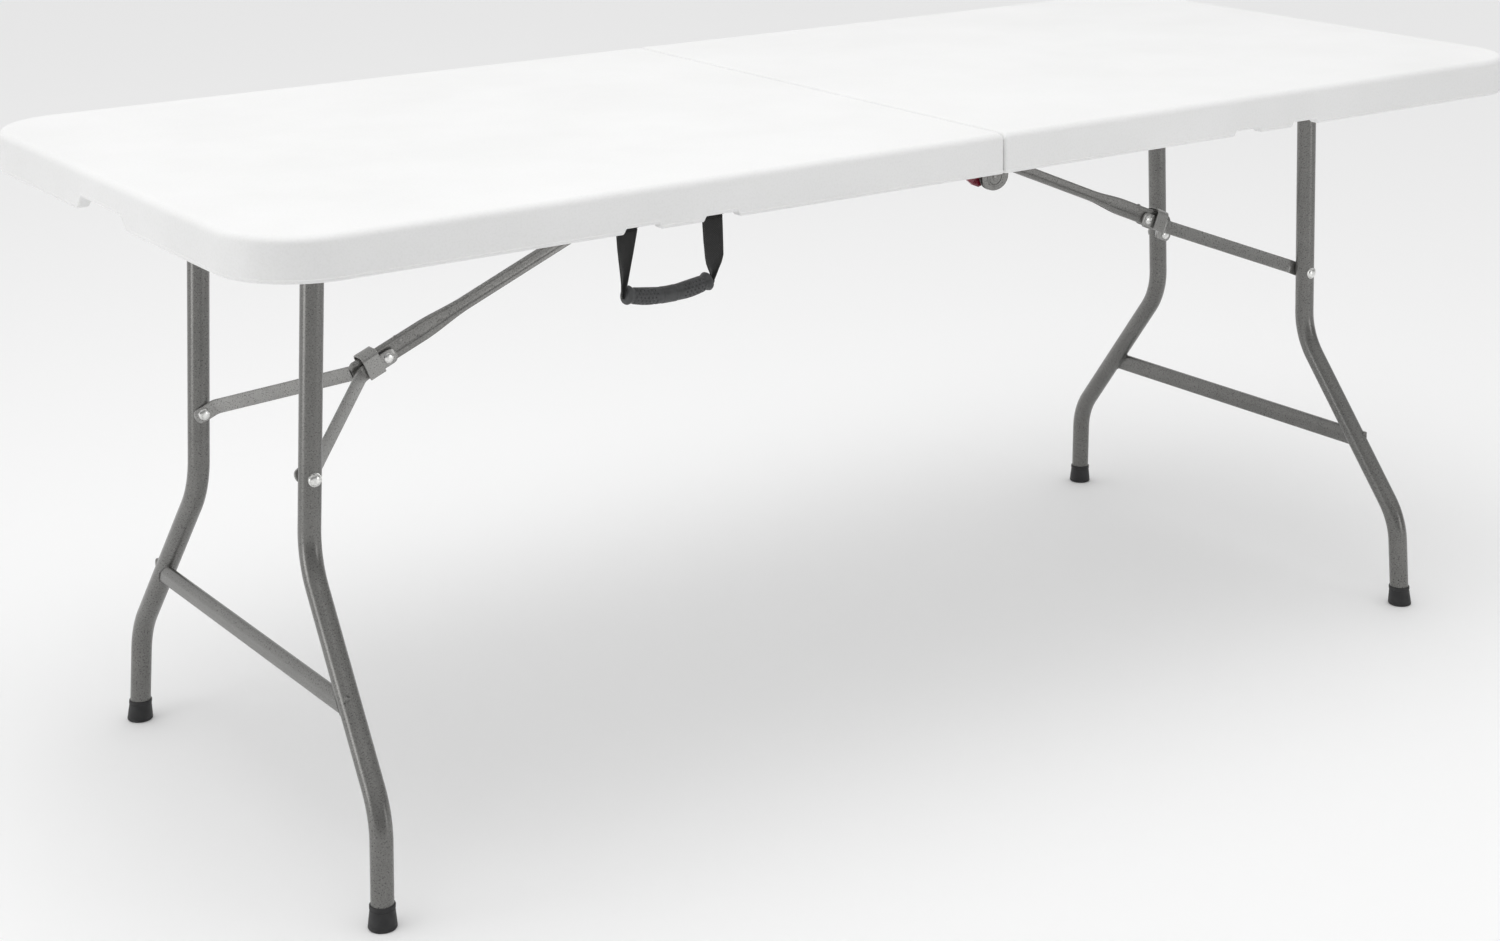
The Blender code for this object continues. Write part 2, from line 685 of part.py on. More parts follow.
class BracePlane:
    """The line of one brace at rest: run is the distance from the strut's pivot, rise is square to it."""

    def __init__(self, side):
        start = Vector((side * STRUT_PIVOT_X, 0, STRUT_PIVOT_Z))
        end = LegPlane(side).at(LEG_RIVET_DROP, 0.0)
        fold = LEG_FOLD - LEG_SPLAY
        folded = LegPlane(side).pivot - Vector((side * math.sin(fold), 0, math.cos(fold))) * LEG_RIVET_DROP
        self.start = start
        self.length = (end - start).length
        self.knee = (self.length + (folded - start).length) / 2
        self.along = (end - start).normalized()
        self.up = Vector((-side * self.along.z, 0, side * self.along.x))

    def at(self, run, y, rise):
        return self.start + self.along * run + self.up * rise + Vector((0, y, 0))


def strut(name, side, finish, body):
    """A pressed channel, open below, deep round the knee and shallow for the rest of its length."""
    plane = BracePlane(side)
    knee = plane.knee
    half, wall, chamfer = STRUT_HALF_WIDTH, STRUT_WALL, STRUT_ROLL
    stations = [
        (-STRUT_TAIL, 0.0040, -0.0040),
        (-STRUT_TAIL + 0.003, *STRUT_NARROW),
        (knee - STRUT_TAPER[0], *STRUT_NARROW),
        (knee - STRUT_TAPER[1], *STRUT_WIDE),
        (knee + STRUT_NOSE - 0.005, *STRUT_WIDE),
        (knee + STRUT_NOSE, STRUT_WIDE[0] - 0.0045, STRUT_WIDE[1]),
    ]
    rings = []
    for run, above, below in stations:
        lift = STRUT_LIFT * run / knee
        high, low = above + lift, below + lift
        outer = [(-half, low), (-half, high - chamfer), (-half + chamfer, high), (half - chamfer, high),
                 (half, high - chamfer), (half, low)]
        shoulder = high - chamfer - wall / 2
        inner = [(half - wall, low), (half - wall, shoulder), (half - chamfer, high - wall),
                 (-half + chamfer, high - wall), (-half + wall, shoulder), (-half + wall, low)]
        rings.append([plane.at(run, y, rise) for y, rise in outer + inner])
    bar = piece(name, *loft(rings), finish, body)
    hole = [(-0.02, RIVET_HOLE), (0.02, RIVET_HOLE)]
    holes = [turned(plane.at(run, 0, 0), (0, 1, 0), hole, 16) for run in (0, knee)]
    cut(bar, name + "_hole_cutter", *joined(*holes))
    run = knee - STOP_BUMP_RUN
    crown = plane.at(run, 0, STRUT_WIDE[0] + STRUT_LIFT * run / knee - 0.0008)
    stop = turned(crown, plane.up, [(0, 0.0026), (0.0014, 0.0022), (0.0022, 0.0012)], 12)
    cut(bar, name + "_stop_bump", *stop, operation="UNION")
    return bar


def brace_arm(name, side, near, finish, body):
    """A flat bar: parallel to the strut past the knee, then spread to the leg tube, with a riveted end."""
    plane = BracePlane(side)
    knee = plane.knee
    half_thick = ARM_THICKNESS / 2
    knee_y = (ARM_Y[0] + ARM_Y[1]) / 2
    leg_y = LEG_Y_TOP - TUBE_RADIUS - GAP - half_thick
    end = plane.length
    corners = [(knee, knee_y), (knee + ARM_PARALLEL, knee_y), (end - ARM_LEG_FLAT, leg_y), (end, leg_y)]
    flat_path = rounded_path([(run, y, 0) for run, y in corners], 0.012, 3)
    stations = [(p.x, p.y, 0.0) for p in flat_path]
    reach = ARM_END
    tail = [math.radians(a) for a in (75, 50, 25)]
    head = [(knee - reach * math.sin(a), knee_y, reach * (1 - math.cos(a))) for a in tail]
    foot = [(end + reach * math.sin(a), leg_y, reach * (1 - math.cos(a))) for a in tail[::-1]]
    stations = head + stations + foot
    rings = []
    for i, (run, y, narrowing) in enumerate(stations):
        before = stations[max(i - 1, 0)]
        after = stations[min(i + 1, len(stations) - 1)]
        along = Vector((after[0] - before[0], after[1] - before[1])).normalized()
        across = Vector((-along.y, along.x)) * half_thick
        tall = ARM_HALF_HEIGHT - narrowing * ARM_HALF_HEIGHT / reach
        rings.append([
            plane.at(run + s * across.x, near * (y + s * across.y), t * tall)
            for s, t in ((-1, -1), (1, -1), (1, 1), (-1, 1))
        ])
    arm = piece(name, *loft(rings), finish, body)
    hole = [(-STRUT_HALF_WIDTH, RIVET_HOLE), (STRUT_HALF_WIDTH, RIVET_HOLE)]
    knee_hole = turned(plane.at(knee, near * knee_y, 0), (0, 1, 0), hole, 16)
    leg_hole = turned(plane.at(end, near * leg_y, 0), (0, 1, 0), hole, 16)
    cut(arm, name + "_hole_cutter", *joined(knee_hole, leg_hole))
    return arm


def arm_rivet(name, side, near, finish, body):
    """Rivet in the arm's outer end, domed inside; its shank ends flush with the arm, beside the tube."""
    plane = BracePlane(side)
    flush = LEG_Y_TOP - TUBE_RADIUS - 2 * GAP
    face = flush + GAP - ARM_THICKNESS - 2 * GAP
    profile = [(-t, r) for t, r in dome(-face, *ARM_HEAD)][::-1]
    profile += [(face, RIVET_RADIUS), (flush, RIVET_RADIUS)]
    shape = turned(plane.at(plane.length, 0, 0), (0, near, 0), profile, 12)
    return piece(name, *shape, finish, body)


def knee_rivet(name, side, finish, body):
    """The rivet through both arms and the strut at the knee, domed at both ends."""
    plane = BracePlane(side)
    face = ARM_Y[1] + GAP
    head = dome(face, *KNEE_HEAD)
    profile = [(-t, r) for t, r in head[::-1]] + [(-face, RIVET_RADIUS), (face, RIVET_RADIUS)] + head
    shape = turned(plane.at(plane.knee, 0, 0), (0, 1, 0), profile, 12)
    return piece(name, *shape, finish, body)


def lock_ring(name, side, finish, body):
    """A saddle with rounded shoulders, open below, that slides along the strut over the knee."""
    plane = BracePlane(side)
    inner, outer = RING_WALL_Y
    low, roof, high = RING_Z
    corner = RING_CORNER
    section = [(-outer, low), (-outer, high - corner), (-outer + corner, high), (outer - corner, high),
               (outer, high - corner), (outer, low), (inner, low), (inner, high - corner),
               (outer - corner, roof), (corner - outer, roof), (-inner, high - corner), (-inner, low)]
    middle = plane.knee + RING_PLACE
    ends = (middle - RING_LENGTH / 2, middle + RING_LENGTH / 2)
    shape = loft([[plane.at(run, y, rise) for y, rise in section] for run in ends])
    return piece(name, *shape, finish, body)


# ------------------------------------------------------------------------------ handle and latch


def handle_bail(name, finish, body):
    """A wire staple under the front rail, which the straps loop round."""
    start, end = BAIL_ENDS
    high = RAIL_Z[1] - RAIL_THICKNESS - 0.0005
    corners = [(start, HANDLE_Y, high), (start, HANDLE_Y, HANDLE_Z),
               (end, HANDLE_Y, HANDLE_Z), (end, HANDLE_Y, high)]
    path = rounded_path(corners, BAIL_BEND, 4)
    return piece(name, *loft(sweep(path, circle(BAIL_RADIUS, 12), (0, 1, 0))), finish, body)


def strap(name, centre_x, grip_x, finish, body):
    """A webbing strap: a loop round the bail, then a band that narrows into the end of the grip."""
    half = STRAP_WIDTH / 2
    outward = math.copysign(1, centre_x - sum(STRAP_CENTRES) / 2)
    bottom_x = grip_x + outward * STRAP_END_OFFSET
    gathered, thick = STRAP_GATHERED
    stations = [
        (HANDLE_Z - 0.0030, centre_x, half, STRAP_THICKNESS / 2),
        (HANDLE_Z - 0.0200, centre_x, half, STRAP_THICKNESS / 2),
        (HANDLE_Z - 0.0460, (centre_x + bottom_x) / 2, half * 0.62, 0.0014),
        (GRIP_Z + 0.0100, bottom_x, gathered, thick),
        (GRIP_Z - 0.0040, bottom_x, gathered - 0.0002, thick),
    ]
    rings = []
    for z, x, w, t in stations:
        front, back = HANDLE_Y - t, HANDLE_Y + t
        rings.append([(x - w, front, z), (x + w, front, z), (x + w, back, z), (x - w, back, z)])
    band = piece(name, *loft(rings), finish, body)
    bore = BAIL_RADIUS + 0.0004
    rim = bore + STRAP_THICKNESS
    profile = [(-half, bore), (-half, rim), (half, rim), (half, bore)]
    eye = turned((centre_x, HANDLE_Y, HANDLE_Z), (1, 0, 0), profile, 16, hollow=True)
    cut(band, name + "_eye", *eye, operation="UNION")
    return band


def grip(name, finish, body):
    """The moulded grip: a round bar that sags between its beaded ends."""
    start, end = GRIP_ENDS
    length = end - start
    count = 13
    path, radii = [], []
    for i in range(count):
        share = i / (count - 1)
        sag = GRIP_SAG * 4 * share * (1 - share)
        path.append(Vector((start + length * share, HANDLE_Y, GRIP_Z - sag)))
        edge = min(i, count - 1 - i)
        radii.append(GRIP_BEAD_RADII[edge] if edge < len(GRIP_BEAD_RADII) else GRIP_RADIUS)
    rings = []
    for i, (place, radius) in enumerate(zip(path, radii)):
        along = path[min(i + 1, count - 1)] - path[max(i - 1, 0)]
        rings.append(disc(place, along, radius, 16))
    return piece(name, *loft(rings), finish, body)


def latch(name, finish, body):
    """A small red pawl beside the centre hinge, its finger hanging just below the skirt."""
    px, pz = LATCH_PIVOT
    outline = arc((px, pz), LATCH_EYE_RADIUS, 60, 200, 8)
    outline += LATCH_FINGER
    pawl = piece(name, *prism_y(outline, (-LATCH_Y[1], -LATCH_Y[0])), finish, body)
    hole = [(-0.01, LATCH_BORE), (0.01, LATCH_BORE)]
    cut(pawl, name + "_hole_cutter", *turned((px, -LATCH_Y[0], pz), (0, 1, 0), hole, 16))
    return pawl


def latch_pin(name, finish, body):
    """The latch's headed pin."""
    px, pz = LATCH_PIVOT
    face = LATCH_Y[0] - GAP
    profile = [(LATCH_PIN_END, LATCH_PIN_RADIUS), (face, LATCH_PIN_RADIUS)]
    profile += [(face - height, radius) for height, radius in LATCH_PIN_HEAD]
    return piece(name, *turned((px, 0, pz), (0, -1, 0), profile, 16), finish, body)


# ------------------------------------------------------------------------------------------ assembly


def finishes():
    return {
        "plastic": material("white_plastic", (0.90, 0.90, 0.90), 0.45, 0.0),
        "steel": material("grey_powder_coat", (0.22, 0.22, 0.21), 0.42, 0.6),
        "bright": material("zinc_rivet", (0.78, 0.78, 0.77), 0.25, 1.0),
        "rubber": material("black_cap", (0.045, 0.045, 0.047), 0.55, 0.0),
        "nylon": material("nylon_bush", (0.55, 0.55, 0.52), 0.5, 0.0),
        "webbing": material("black_webbing", (0.030, 0.030, 0.030), 0.85, 0.0),
        "grip": material("black_grip", (0.050, 0.052, 0.055), 0.6, 0.0),
        "red": material("red_latch", (0.30, 0.01, 0.03), 0.4, 0.0),
    }


def half_hardware(word, side, finish, body):
    """The fixed steel under one half: rails, bushes, hinge plates, strut bracket and its pin."""
    plate_y = HINGE_LEFT_Y if side == LEFT else HINGE_RIGHT_Y
    for edge, near in (("front", -1), ("back", 1)):
        side_rail(f"{word}_rail_{edge}", side, near, finish["steel"], body)
        pivot_bush(f"{word}_pivot_bush_{edge}", side, near, finish["nylon"], body)
        hinge_plate(f"{word}_hinge_plate_{edge}", side, near, plate_y, finish["steel"], body)
    strut_bracket(f"{word}_strut_bracket", side, finish["steel"], body)
    strut_pin(f"{word}_strut_pin", side, finish["bright"], body)


def frame_and_brace(word, side, finish, half):
    """One leg frame with its brace, each moving body on an empty at its joint."""
    leg_plane = LegPlane(side)
    brace = BracePlane(side)
    leg = joint_empty(f"{word}_leg_joint", leg_plane.pivot, half)
    strut_joint = joint_empty(f"{word}_strut_joint", brace.start, half)
    arm_joint = joint_empty(f"{word}_arm_joint", brace.at(brace.knee, 0, 0), strut_joint)
    pivot_tube(f"{word}_pivot_tube", side, finish["steel"], leg)
    crossbar(f"{word}_crossbar", side, finish["steel"], leg)
    for edge, near in (("front", -1), ("back", 1)):
        leg_tube(f"{word}_leg_tube_{edge}", side, near, finish["steel"], leg)
        foot_cap(f"{word}_foot_cap_{edge}", side, near, finish["rubber"], leg)
        leg_rivet(f"{word}_leg_rivet_{edge}", side, near, finish["bright"], leg)
        brace_arm(f"{word}_brace_arm_{edge}", side, near, finish["steel"], arm_joint)
        arm_rivet(f"{word}_arm_rivet_{edge}", side, near, finish["bright"], arm_joint)
    knee_rivet(f"{word}_knee_rivet", side, finish["bright"], arm_joint)
    strut(f"{word}_brace_strut", side, finish["steel"], strut_joint)
    lock_ring(f"{word}_lock_ring", side, finish["steel"], strut_joint)


def main():
    clear_scene()
    finish = finishes()
    left = joint_empty("left_half_frame", (0, 0, 0))
    right = joint_empty("right_half_joint", (0, 0, FOLD_Z))
    moulded_top("left_top", LEFT, finish["plastic"], left)
    moulded_top("right_top", RIGHT, finish["plastic"], right)
    half_hardware("left", LEFT, finish, left)
    half_hardware("right", RIGHT, finish, right)
    for edge, near in (("front", -1), ("back", 1)):
        hinge_pin(f"hinge_pin_{edge}", near, finish["steel"], left)
        hinge_washer(f"hinge_washer_{edge}", near, finish["bright"], left)
    frame_and_brace("left", LEFT, finish, left)
    frame_and_brace("right", RIGHT, finish, right)

    handle_bail("handle_bail", finish["steel"], left)
    handle = joint_empty("handle_joint", (sum(STRAP_CENTRES) / 2, HANDLE_Y, HANDLE_Z), left)
    strap("handle_strap_left", STRAP_CENTRES[0], GRIP_ENDS[0], finish["webbing"], handle)
    strap("handle_strap_right", STRAP_CENTRES[1], GRIP_ENDS[1], finish["webbing"], handle)
    grip("handle_grip", finish["grip"], handle)

    latch_pin("latch_pin", finish["bright"], left)
    latch_joint = joint_empty("latch_joint", (LATCH_PIVOT[0], -LATCH_Y[0], LATCH_PIVOT[1]), left)
    latch("red_latch", finish["red"], latch_joint)
    bpy.context.view_layer.update()


main()
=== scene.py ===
import json
from math import copysign, cos, exp, hypot, pi, radians, sin, sqrt, tan

import bmesh
import bpy
from mathutils import Matrix, Vector


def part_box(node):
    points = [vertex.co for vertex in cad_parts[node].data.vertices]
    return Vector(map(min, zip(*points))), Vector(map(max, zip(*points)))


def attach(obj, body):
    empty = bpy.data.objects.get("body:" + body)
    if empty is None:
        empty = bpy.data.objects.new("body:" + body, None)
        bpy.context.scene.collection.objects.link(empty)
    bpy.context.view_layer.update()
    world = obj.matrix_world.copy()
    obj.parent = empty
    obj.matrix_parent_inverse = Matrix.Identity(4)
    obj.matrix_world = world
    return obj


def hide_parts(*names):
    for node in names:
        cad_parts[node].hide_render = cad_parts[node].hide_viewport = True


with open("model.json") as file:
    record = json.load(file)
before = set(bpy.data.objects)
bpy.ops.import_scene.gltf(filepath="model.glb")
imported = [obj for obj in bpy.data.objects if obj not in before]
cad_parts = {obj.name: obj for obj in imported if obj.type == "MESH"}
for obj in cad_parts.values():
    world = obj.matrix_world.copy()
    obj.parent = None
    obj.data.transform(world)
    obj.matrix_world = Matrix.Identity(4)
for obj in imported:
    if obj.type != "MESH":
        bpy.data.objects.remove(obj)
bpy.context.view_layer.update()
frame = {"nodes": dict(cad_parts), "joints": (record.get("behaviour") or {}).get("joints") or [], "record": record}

JOINTS = {joint["name"]: joint for joint in frame["joints"]}
MOUNTS = {mount["name"]: Vector(mount["pos_m"]) for mount in frame["record"]["mounts"]}
EDGES = (("front", -1), ("back", 1))

# ---------- sizes, in metres
LOW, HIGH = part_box("right_top")
LENGTH = 2 * HIGH.x
WIDTH = HIGH.y - LOW.y
TOP_Z = HIGH.z
SKIRT_Z = LOW.z
SEAM = LOW.x
SKIN_Z = TOP_Z - 0.018
CHANNEL_Z = SKIN_Z + 0.0095
SKIRT_WALL = 0.014
SEAM_WALL = 0.0030
CORNER = 0.090
SEAM_CORNER = 0.004
EDGE = 0.009
SEAM_EDGE = 0.004
EDGE_STEPS = 9
CORNER_STEPS, SEAM_CORNER_STEPS = 22, 5
DRAFT = 0.0015
TOP_INSETS = (0.0160, 0.0060)
LIP = ((0.0018, 0.0), (0.0009, 0.0003), (0.0003, 0.0010), (0.0, 0.0020), (0.0001, 0.0036), (0.0006, 0.0042),
       (0.0006, 0.0048))  # inset and rise along the skirt's bottom edge
STRAP_NOTCHES = (0.3805, 0.4775)
STRAP_NOTCH = (0.0235, 0.0190, 0.0056)  # half width at the mouth, half width at full depth, depth
HAND_NOTCH = (0.0700, 0.0520, 0.0150)
CHANNEL_SLOPES = ((0.026, 0.031), (0.686, 0.691), (0.0735, 0.0785))  # near end, far end, side
DIMPLE_PITCH = 0.036
DIMPLE_X, DIMPLE_Y = 0.028, 0.018
DIMPLE_DEPTH, DIMPLE_FLOOR, DIMPLE_RIM = 0.0065, 0.0030, 0.0125
DIMPLE_FREE_X, DIMPLE_FREE_Y = 0.715, 0.095

TUBE = 0.0125
PIVOT_HALF = 0.334
CROSSBAR_DROP = 0.5055
CROSSBAR_OUT = 0.0055
UPPER_BEND = 0.3746
LOWER_BEND = 0.6030
LOWER_BEND_Y = 0.3189
BEND_RADIUS = 0.100
TUBE_SHORT = 0.008  # how far a tube stops above the bottom of its foot cap
CROSSBAR_WELD, TOP_WELD = (0.0013, 0.16), (0.0009, 0.12)  # radius and lumps
CAP_WIDE, CAP_NARROW = 0.0156, 0.0137

ARM_THICKNESS = 0.0028
ARM_HALF = 0.009
ARM_END = 0.0110
STRUT_HALF = 0.0045
STRUT_LIFT = 0.004
ARM_Y = STRUT_HALF + 0.0003 + ARM_THICKNESS / 2
RING_BOTTOM, RING_CROWN, RING_ROLL, RING_WALL = -0.0100, 0.0190, 0.0062, 0.0015

RAIL_SCREWS = (0.130, 0.290, 0.560, 0.660, 0.775)
RAIL_SCREW_Y = 0.3490
PLATE_ARM, PLATE_CORNER = 0.0175, 0.006
LATCH_RIB_X, LATCH_RIB_Z = -0.0265, 0.6985

WIRE = 0.002
STRAP_HALF = 0.0125
STRAP_LOOP = 0.0034
STRAP_THICKNESS = 0.0014
STRAP_COLUMNS = 15
GRIP_DROP = 0.0104
GRIP_SAG = 0.0075
GRIP_RADIUS = 0.0088
GRIP_END = 0.0022
STITCH_ROWS = (0.0048, 0.0072)
STITCH, STITCH_PITCH, STITCHES = 0.0019, 0.0030, 8
# share of the strap's drop, left edge, right edge
STRAP_EDGES = {
    "left": ((0.0, -0.0125, 0.0125), (0.25, -0.0124, 0.0078), (0.45, -0.0116, 0.0042),
             (0.70, -0.0100, -0.0002), (0.88, -0.0090, -0.0034), (1.0, -0.0088, -0.0042)),
    "right": ((0.0, -0.0125, 0.0125), (0.35, -0.0119, 0.0122), (0.62, -0.0103, 0.0124),
              (0.74, -0.0088, 0.0100), (0.88, -0.0050, 0.0046), (1.0, -0.0040, 0.0000)),
}

FLOOR_HALF = 60.0
CAMERA_PLACE = (-1.8142, -2.4679, 1.2897)
CAMERA_TURN = (35.043, 18.582, -0.3005)  # azimuth, elevation and roll in degrees
CAMERA_LENS = 60.406


# ---------- pieces


def put(name, data):
    obj = bpy.data.objects.new(name, data)
    bpy.context.scene.collection.objects.link(obj)
    return obj


def add(name, shape, finish, body, replaced=None, angle=32.0, bevel=0.0):
    """One shown piece, from points, faces and, where the finish needs them, a UV for each point."""
    points, faces, *uvs = shape
    mesh = bpy.data.meshes.new(name)
    mesh.from_pydata([tuple(p) for p in points], [], faces)
    if uvs:
        layer = mesh.uv_layers.new(name="UVMap")
        for loop in mesh.loops:
            layer.data[loop.index].uv = uvs[0][loop.vertex_index]
    clean(mesh, angle)
    obj = put(name, mesh)
    mesh.materials.append(finish.material)
    if bevel:
        soften(obj, bevel)
    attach(obj, body)
    if replaced:
        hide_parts(replaced)
    return obj


def cover(node, suffix, shape, finish, body, angle=32.0, bevel=0.0):
    """A shown piece named after the CAD node that it replaces."""
    return add(f"{node}_{suffix}", shape, finish, body, node, angle, bevel)


def clean(mesh, angle):
    shape = bmesh.new()
    shape.from_mesh(mesh)
    bmesh.ops.remove_doubles(shape, verts=shape.verts, dist=1e-6)
    bmesh.ops.recalc_face_normals(shape, faces=shape.faces)
    shape.to_mesh(mesh)
    shape.free()
    mesh.shade_smooth()
    mesh.set_sharp_from_angle(angle=radians(angle))


def soften(obj, width, segments=3):
    bevel = obj.modifiers.new("edges", "BEVEL")
    bevel.width = width
    bevel.segments = segments
    bevel.limit_method = "ANGLE"
    bevel.angle_limit = radians(38)
    bevel.harden_normals = True


def keep(node, finish, bevel=0.0004):
    """A CAD node that stays, with softened edges and a procedural material."""
    obj = frame["nodes"][node]
    obj.data.materials.clear()
    obj.data.materials.append(finish.material)
    weld = obj.modifiers.new("weld", "WELD")
    weld.merge_threshold = 0.00001
    soften(obj, bevel, 2)


# ---------- shapes


def joined(*shapes):
    points, faces = [], []
    for shape in shapes:
        start = len(points)
        points.extend(shape[0])
        faces.extend(tuple(start + i for i in face) for face in shape[1])
    return points, faces


def grid(rows, columns):
    """Faces between rows of points, each with the same number of columns."""
    return [
        (i * columns + j, i * columns + j + 1, (i + 1) * columns + j + 1, (i + 1) * columns + j)
        for i in range(rows - 1) for j in range(columns - 1)
    ]


def loft(rings, closed=False, caps=True):
    """A skin over rings of points. Closed joins the last ring to the first."""
    count = len(rings[0])
    points = [p for ring in rings for p in ring]
    faces = []
    for i in range(len(rings) if closed else len(rings) - 1):
        here, there = i * count, ((i + 1) % len(rings)) * count
        for j in range(count):
            k = (j + 1) % count
            faces.append((here + j, here + k, there + k, there + j))
    if caps and not closed:
        faces.append(tuple(range(count - 1, -1, -1)))
        faces.append(tuple((len(rings) - 1) * count + j for j in range(count)))
    return points, faces


def ring(centre, along, radius, count):
    along = Vector(along).normalized()
    first = Vector((1, 0, 0)) if abs(along.x) < 0.9 else Vector((0, 0, 1))
    first = (first - along * first.dot(along)).normalized()
    second = along.cross(first)
    return [Vector(centre) + radius * (a * first + b * second) for a, b in circle(1, count)]


def circle(radius, count=40):
    turns = [2 * pi * i / count for i in range(count)]
    return [(radius * cos(t), radius * sin(t)) for t in turns]


def quarter(centre, radius, start, steps):
    """Points of a quarter turn that starts at an angle in degrees."""
    turns = [radians(start + 90 * i / steps) for i in range(steps + 1)]
    return [(centre[0] + radius * cos(t), centre[1] + radius * sin(t)) for t in turns]


def rounded_box(half_a, half_b, radius, steps=4):
    """A closed rounded rectangle, as (a, b) points."""
    points = []
    for sa, sb, start in ((1, 1, 0), (-1, 1, 90), (-1, -1, 180), (1, -1, 270)):
        points += quarter((sa * (half_a - radius), sb * (half_b - radius)), radius, start, steps)
    return points


def turned(centre, along, profile, count=48, hollow=False):
    """A lathe shape from (distance along the axis, radius) pairs. A hollow one is a closed band."""
    along = Vector(along).normalized()
    return loft([ring(Vector(centre) + along * t, along, r, count) for t, r in profile], closed=hollow)


def mirrored(points):
    """The same points in reverse order, with the first number negated."""
    return [(-a, b) for a, b in points[::-1]]


def channel(outer, inner):
    """Section of a channel, from the outer and inner points of one side."""
    return outer + mirrored(outer) + mirrored(inner[::-1]) + inner[::-1]


def dome(start, radius, height, steps=7):
    """Profile of a rivet head: a short rim, then a crown."""
    rim = height * 0.16
    angles = [pi / 2 * i / (steps + 0.25) for i in range(steps + 1)]
    crown = [(start + rim + (height - rim) * sin(a), radius * (0.985 * cos(a))) for a in angles]
    return [(start, radius * 0.97), (start + rim * 0.5, radius)] + crown


def rounded_path(corners, radius, steps=14):
    """A path through corners, with an arc of the radius at each inner one."""
    path = [Vector(corners[0])]
    for before, corner, after in zip(corners, corners[1:], corners[2:]):
        before, corner, after = Vector(before), Vector(corner), Vector(after)
        inward = (before - corner).normalized()
        outward = (after - corner).normalized()
        half = inward.angle(outward) / 2
        centre = corner + (inward + outward).normalized() * (radius / sin(half))
        start = corner + inward * (radius / tan(half)) - centre
        end = corner + outward * (radius / tan(half)) - centre
        turn = start.angle(end)
        for i in range(steps + 1):
            share = i / steps
            arm = sin((1 - share) * turn) * start + sin(share * turn) * end
            path.append(centre + arm / sin(turn))
    path.append(Vector(corners[-1]))
    return path


def sweep(path, section, normal):
    """Carries a section along a path that lies in the plane square to the normal."""
    normal = Vector(normal).normalized()
    last = len(path) - 1
    rings = []
    for i, place in enumerate(path):
        across = normal.cross(path[min(i + 1, last)] - path[max(i - 1, 0)]).normalized()
        rings.append([place + across * a + normal * b for a, b in section])
    return rings


def thread(points, radius, lumps):
    """A closed round bead with slight lumps along a loop of points, such as a weld."""
    total = len(points)
    rings = []
    for i in range(total):
        along = points[(i + 1) % total] - points[i - 1]
        size = radius * (1 + lumps * sin(i * 2.1) + lumps * 0.6 * sin(i * 0.83))
        rings.append(ring(points[i], along, size, 10))
    return loft(rings, closed=True)


def smooth(low, high, value):
    share = min(max((value - low) / (high - low), 0.0), 1.0)
    return share * share * (3 - 2 * share)


# ---------- materials


class Nodes:
    """Helpers for building a node tree."""

    def __init__(self, tree):
        self.tree = tree

    def node(self, kind, **values):
        """A new node. Each value goes to the property of that name, or else to the input."""
        made = self.tree.nodes.new(kind)
        for key, value in values.items():
            if hasattr(made, key):
                setattr(made, key, value)
            else:
                made.inputs[key.replace("_", " ")].default_value = value
        return made

    def link(self, out, into):
        self.tree.links.new(out, into)

    def ramp(self, source, *stops):
        """A colour ramp from (place, colour) stops. A plain number is a grey."""
        made = self.node("ShaderNodeValToRGB")
        elements = made.color_ramp.elements
        while len(elements) < len(stops):
            elements.new(0.5)
        for element, (place, colour) in zip(elements, stops):
            element.position = place
            element.color = (colour, colour, colour, 1) if isinstance(colour, float) else (*colour, 1)
        self.link(source, made.inputs["Fac"])
        return made.outputs["Color"]

    def mix(self, factor, first, second, blend="MIX"):
        made = self.node("ShaderNodeMix", data_type="RGBA", blend_type=blend)
        for value, into in ((factor, made.inputs[0]), (first, made.inputs[6]), (second, made.inputs[7])):
            if isinstance(value, bpy.types.NodeSocket):
                self.link(value, into)
            elif isinstance(value, float):
                into.default_value = value
            else:
                into.default_value = (*value, 1)
        return made.outputs[2]

    def remap(self, source, **ends):
        """Maps a stretch of values to another. Either is 0 to 1 unless its ends are given."""
        made = self.node("ShaderNodeMapRange", **ends)
        self.link(source, made.inputs["Value"])
        return made.outputs["Result"]


class Finish(Nodes):
    """A Principled material with its slot and procedural nodes."""

    def __init__(self, name, slot, colour, roughness, metallic=0.0):
        self.material = bpy.data.materials.new(name)
        self.material.use_nodes = True
        super().__init__(self.material.node_tree)
        self.slot = slot
        self.shader = self.tree.nodes["Principled BSDF"]
        self.set(Base_Color=(*colour, 1), Roughness=roughness, Metallic=metallic)
        self.bump_node = None

    def set(self, **values):
        for key, value in values.items():
            self.shader.inputs[key.replace("_", " ")].default_value = value

    def pattern(self, kind, output, **values):
        made = self.node(kind, **values)
        self.link(self.node("ShaderNodeTexCoord").outputs["Object"], made.inputs["Vector"])
        return made.outputs[output]

    def noise(self, scale, detail=3.0, roughness=0.55):
        return self.pattern("ShaderNodeTexNoise", "Fac", Scale=scale, Detail=detail, Roughness=roughness)

    def cells(self, scale):
        return self.pattern("ShaderNodeTexVoronoi", "Distance", Scale=scale)

    def colour(self, source):
        self.link(source, self.shader.inputs["Base Color"])

    def rough(self, source, low, high):
        self.link(self.remap(source, To_Min=low, To_Max=high), self.shader.inputs["Roughness"])

    def bump(self, source, strength, distance):
        """Adds a layer of bumps on top of those added before."""
        made = self.node("ShaderNodeBump", Strength=strength, Distance=distance)
        self.link(source, made.inputs["Height"])
        if self.bump_node:
            self.link(self.bump_node.outputs["Normal"], made.inputs["Normal"])
        self.bump_node = made
        self.link(made.outputs["Normal"], self.shader.inputs["Normal"])


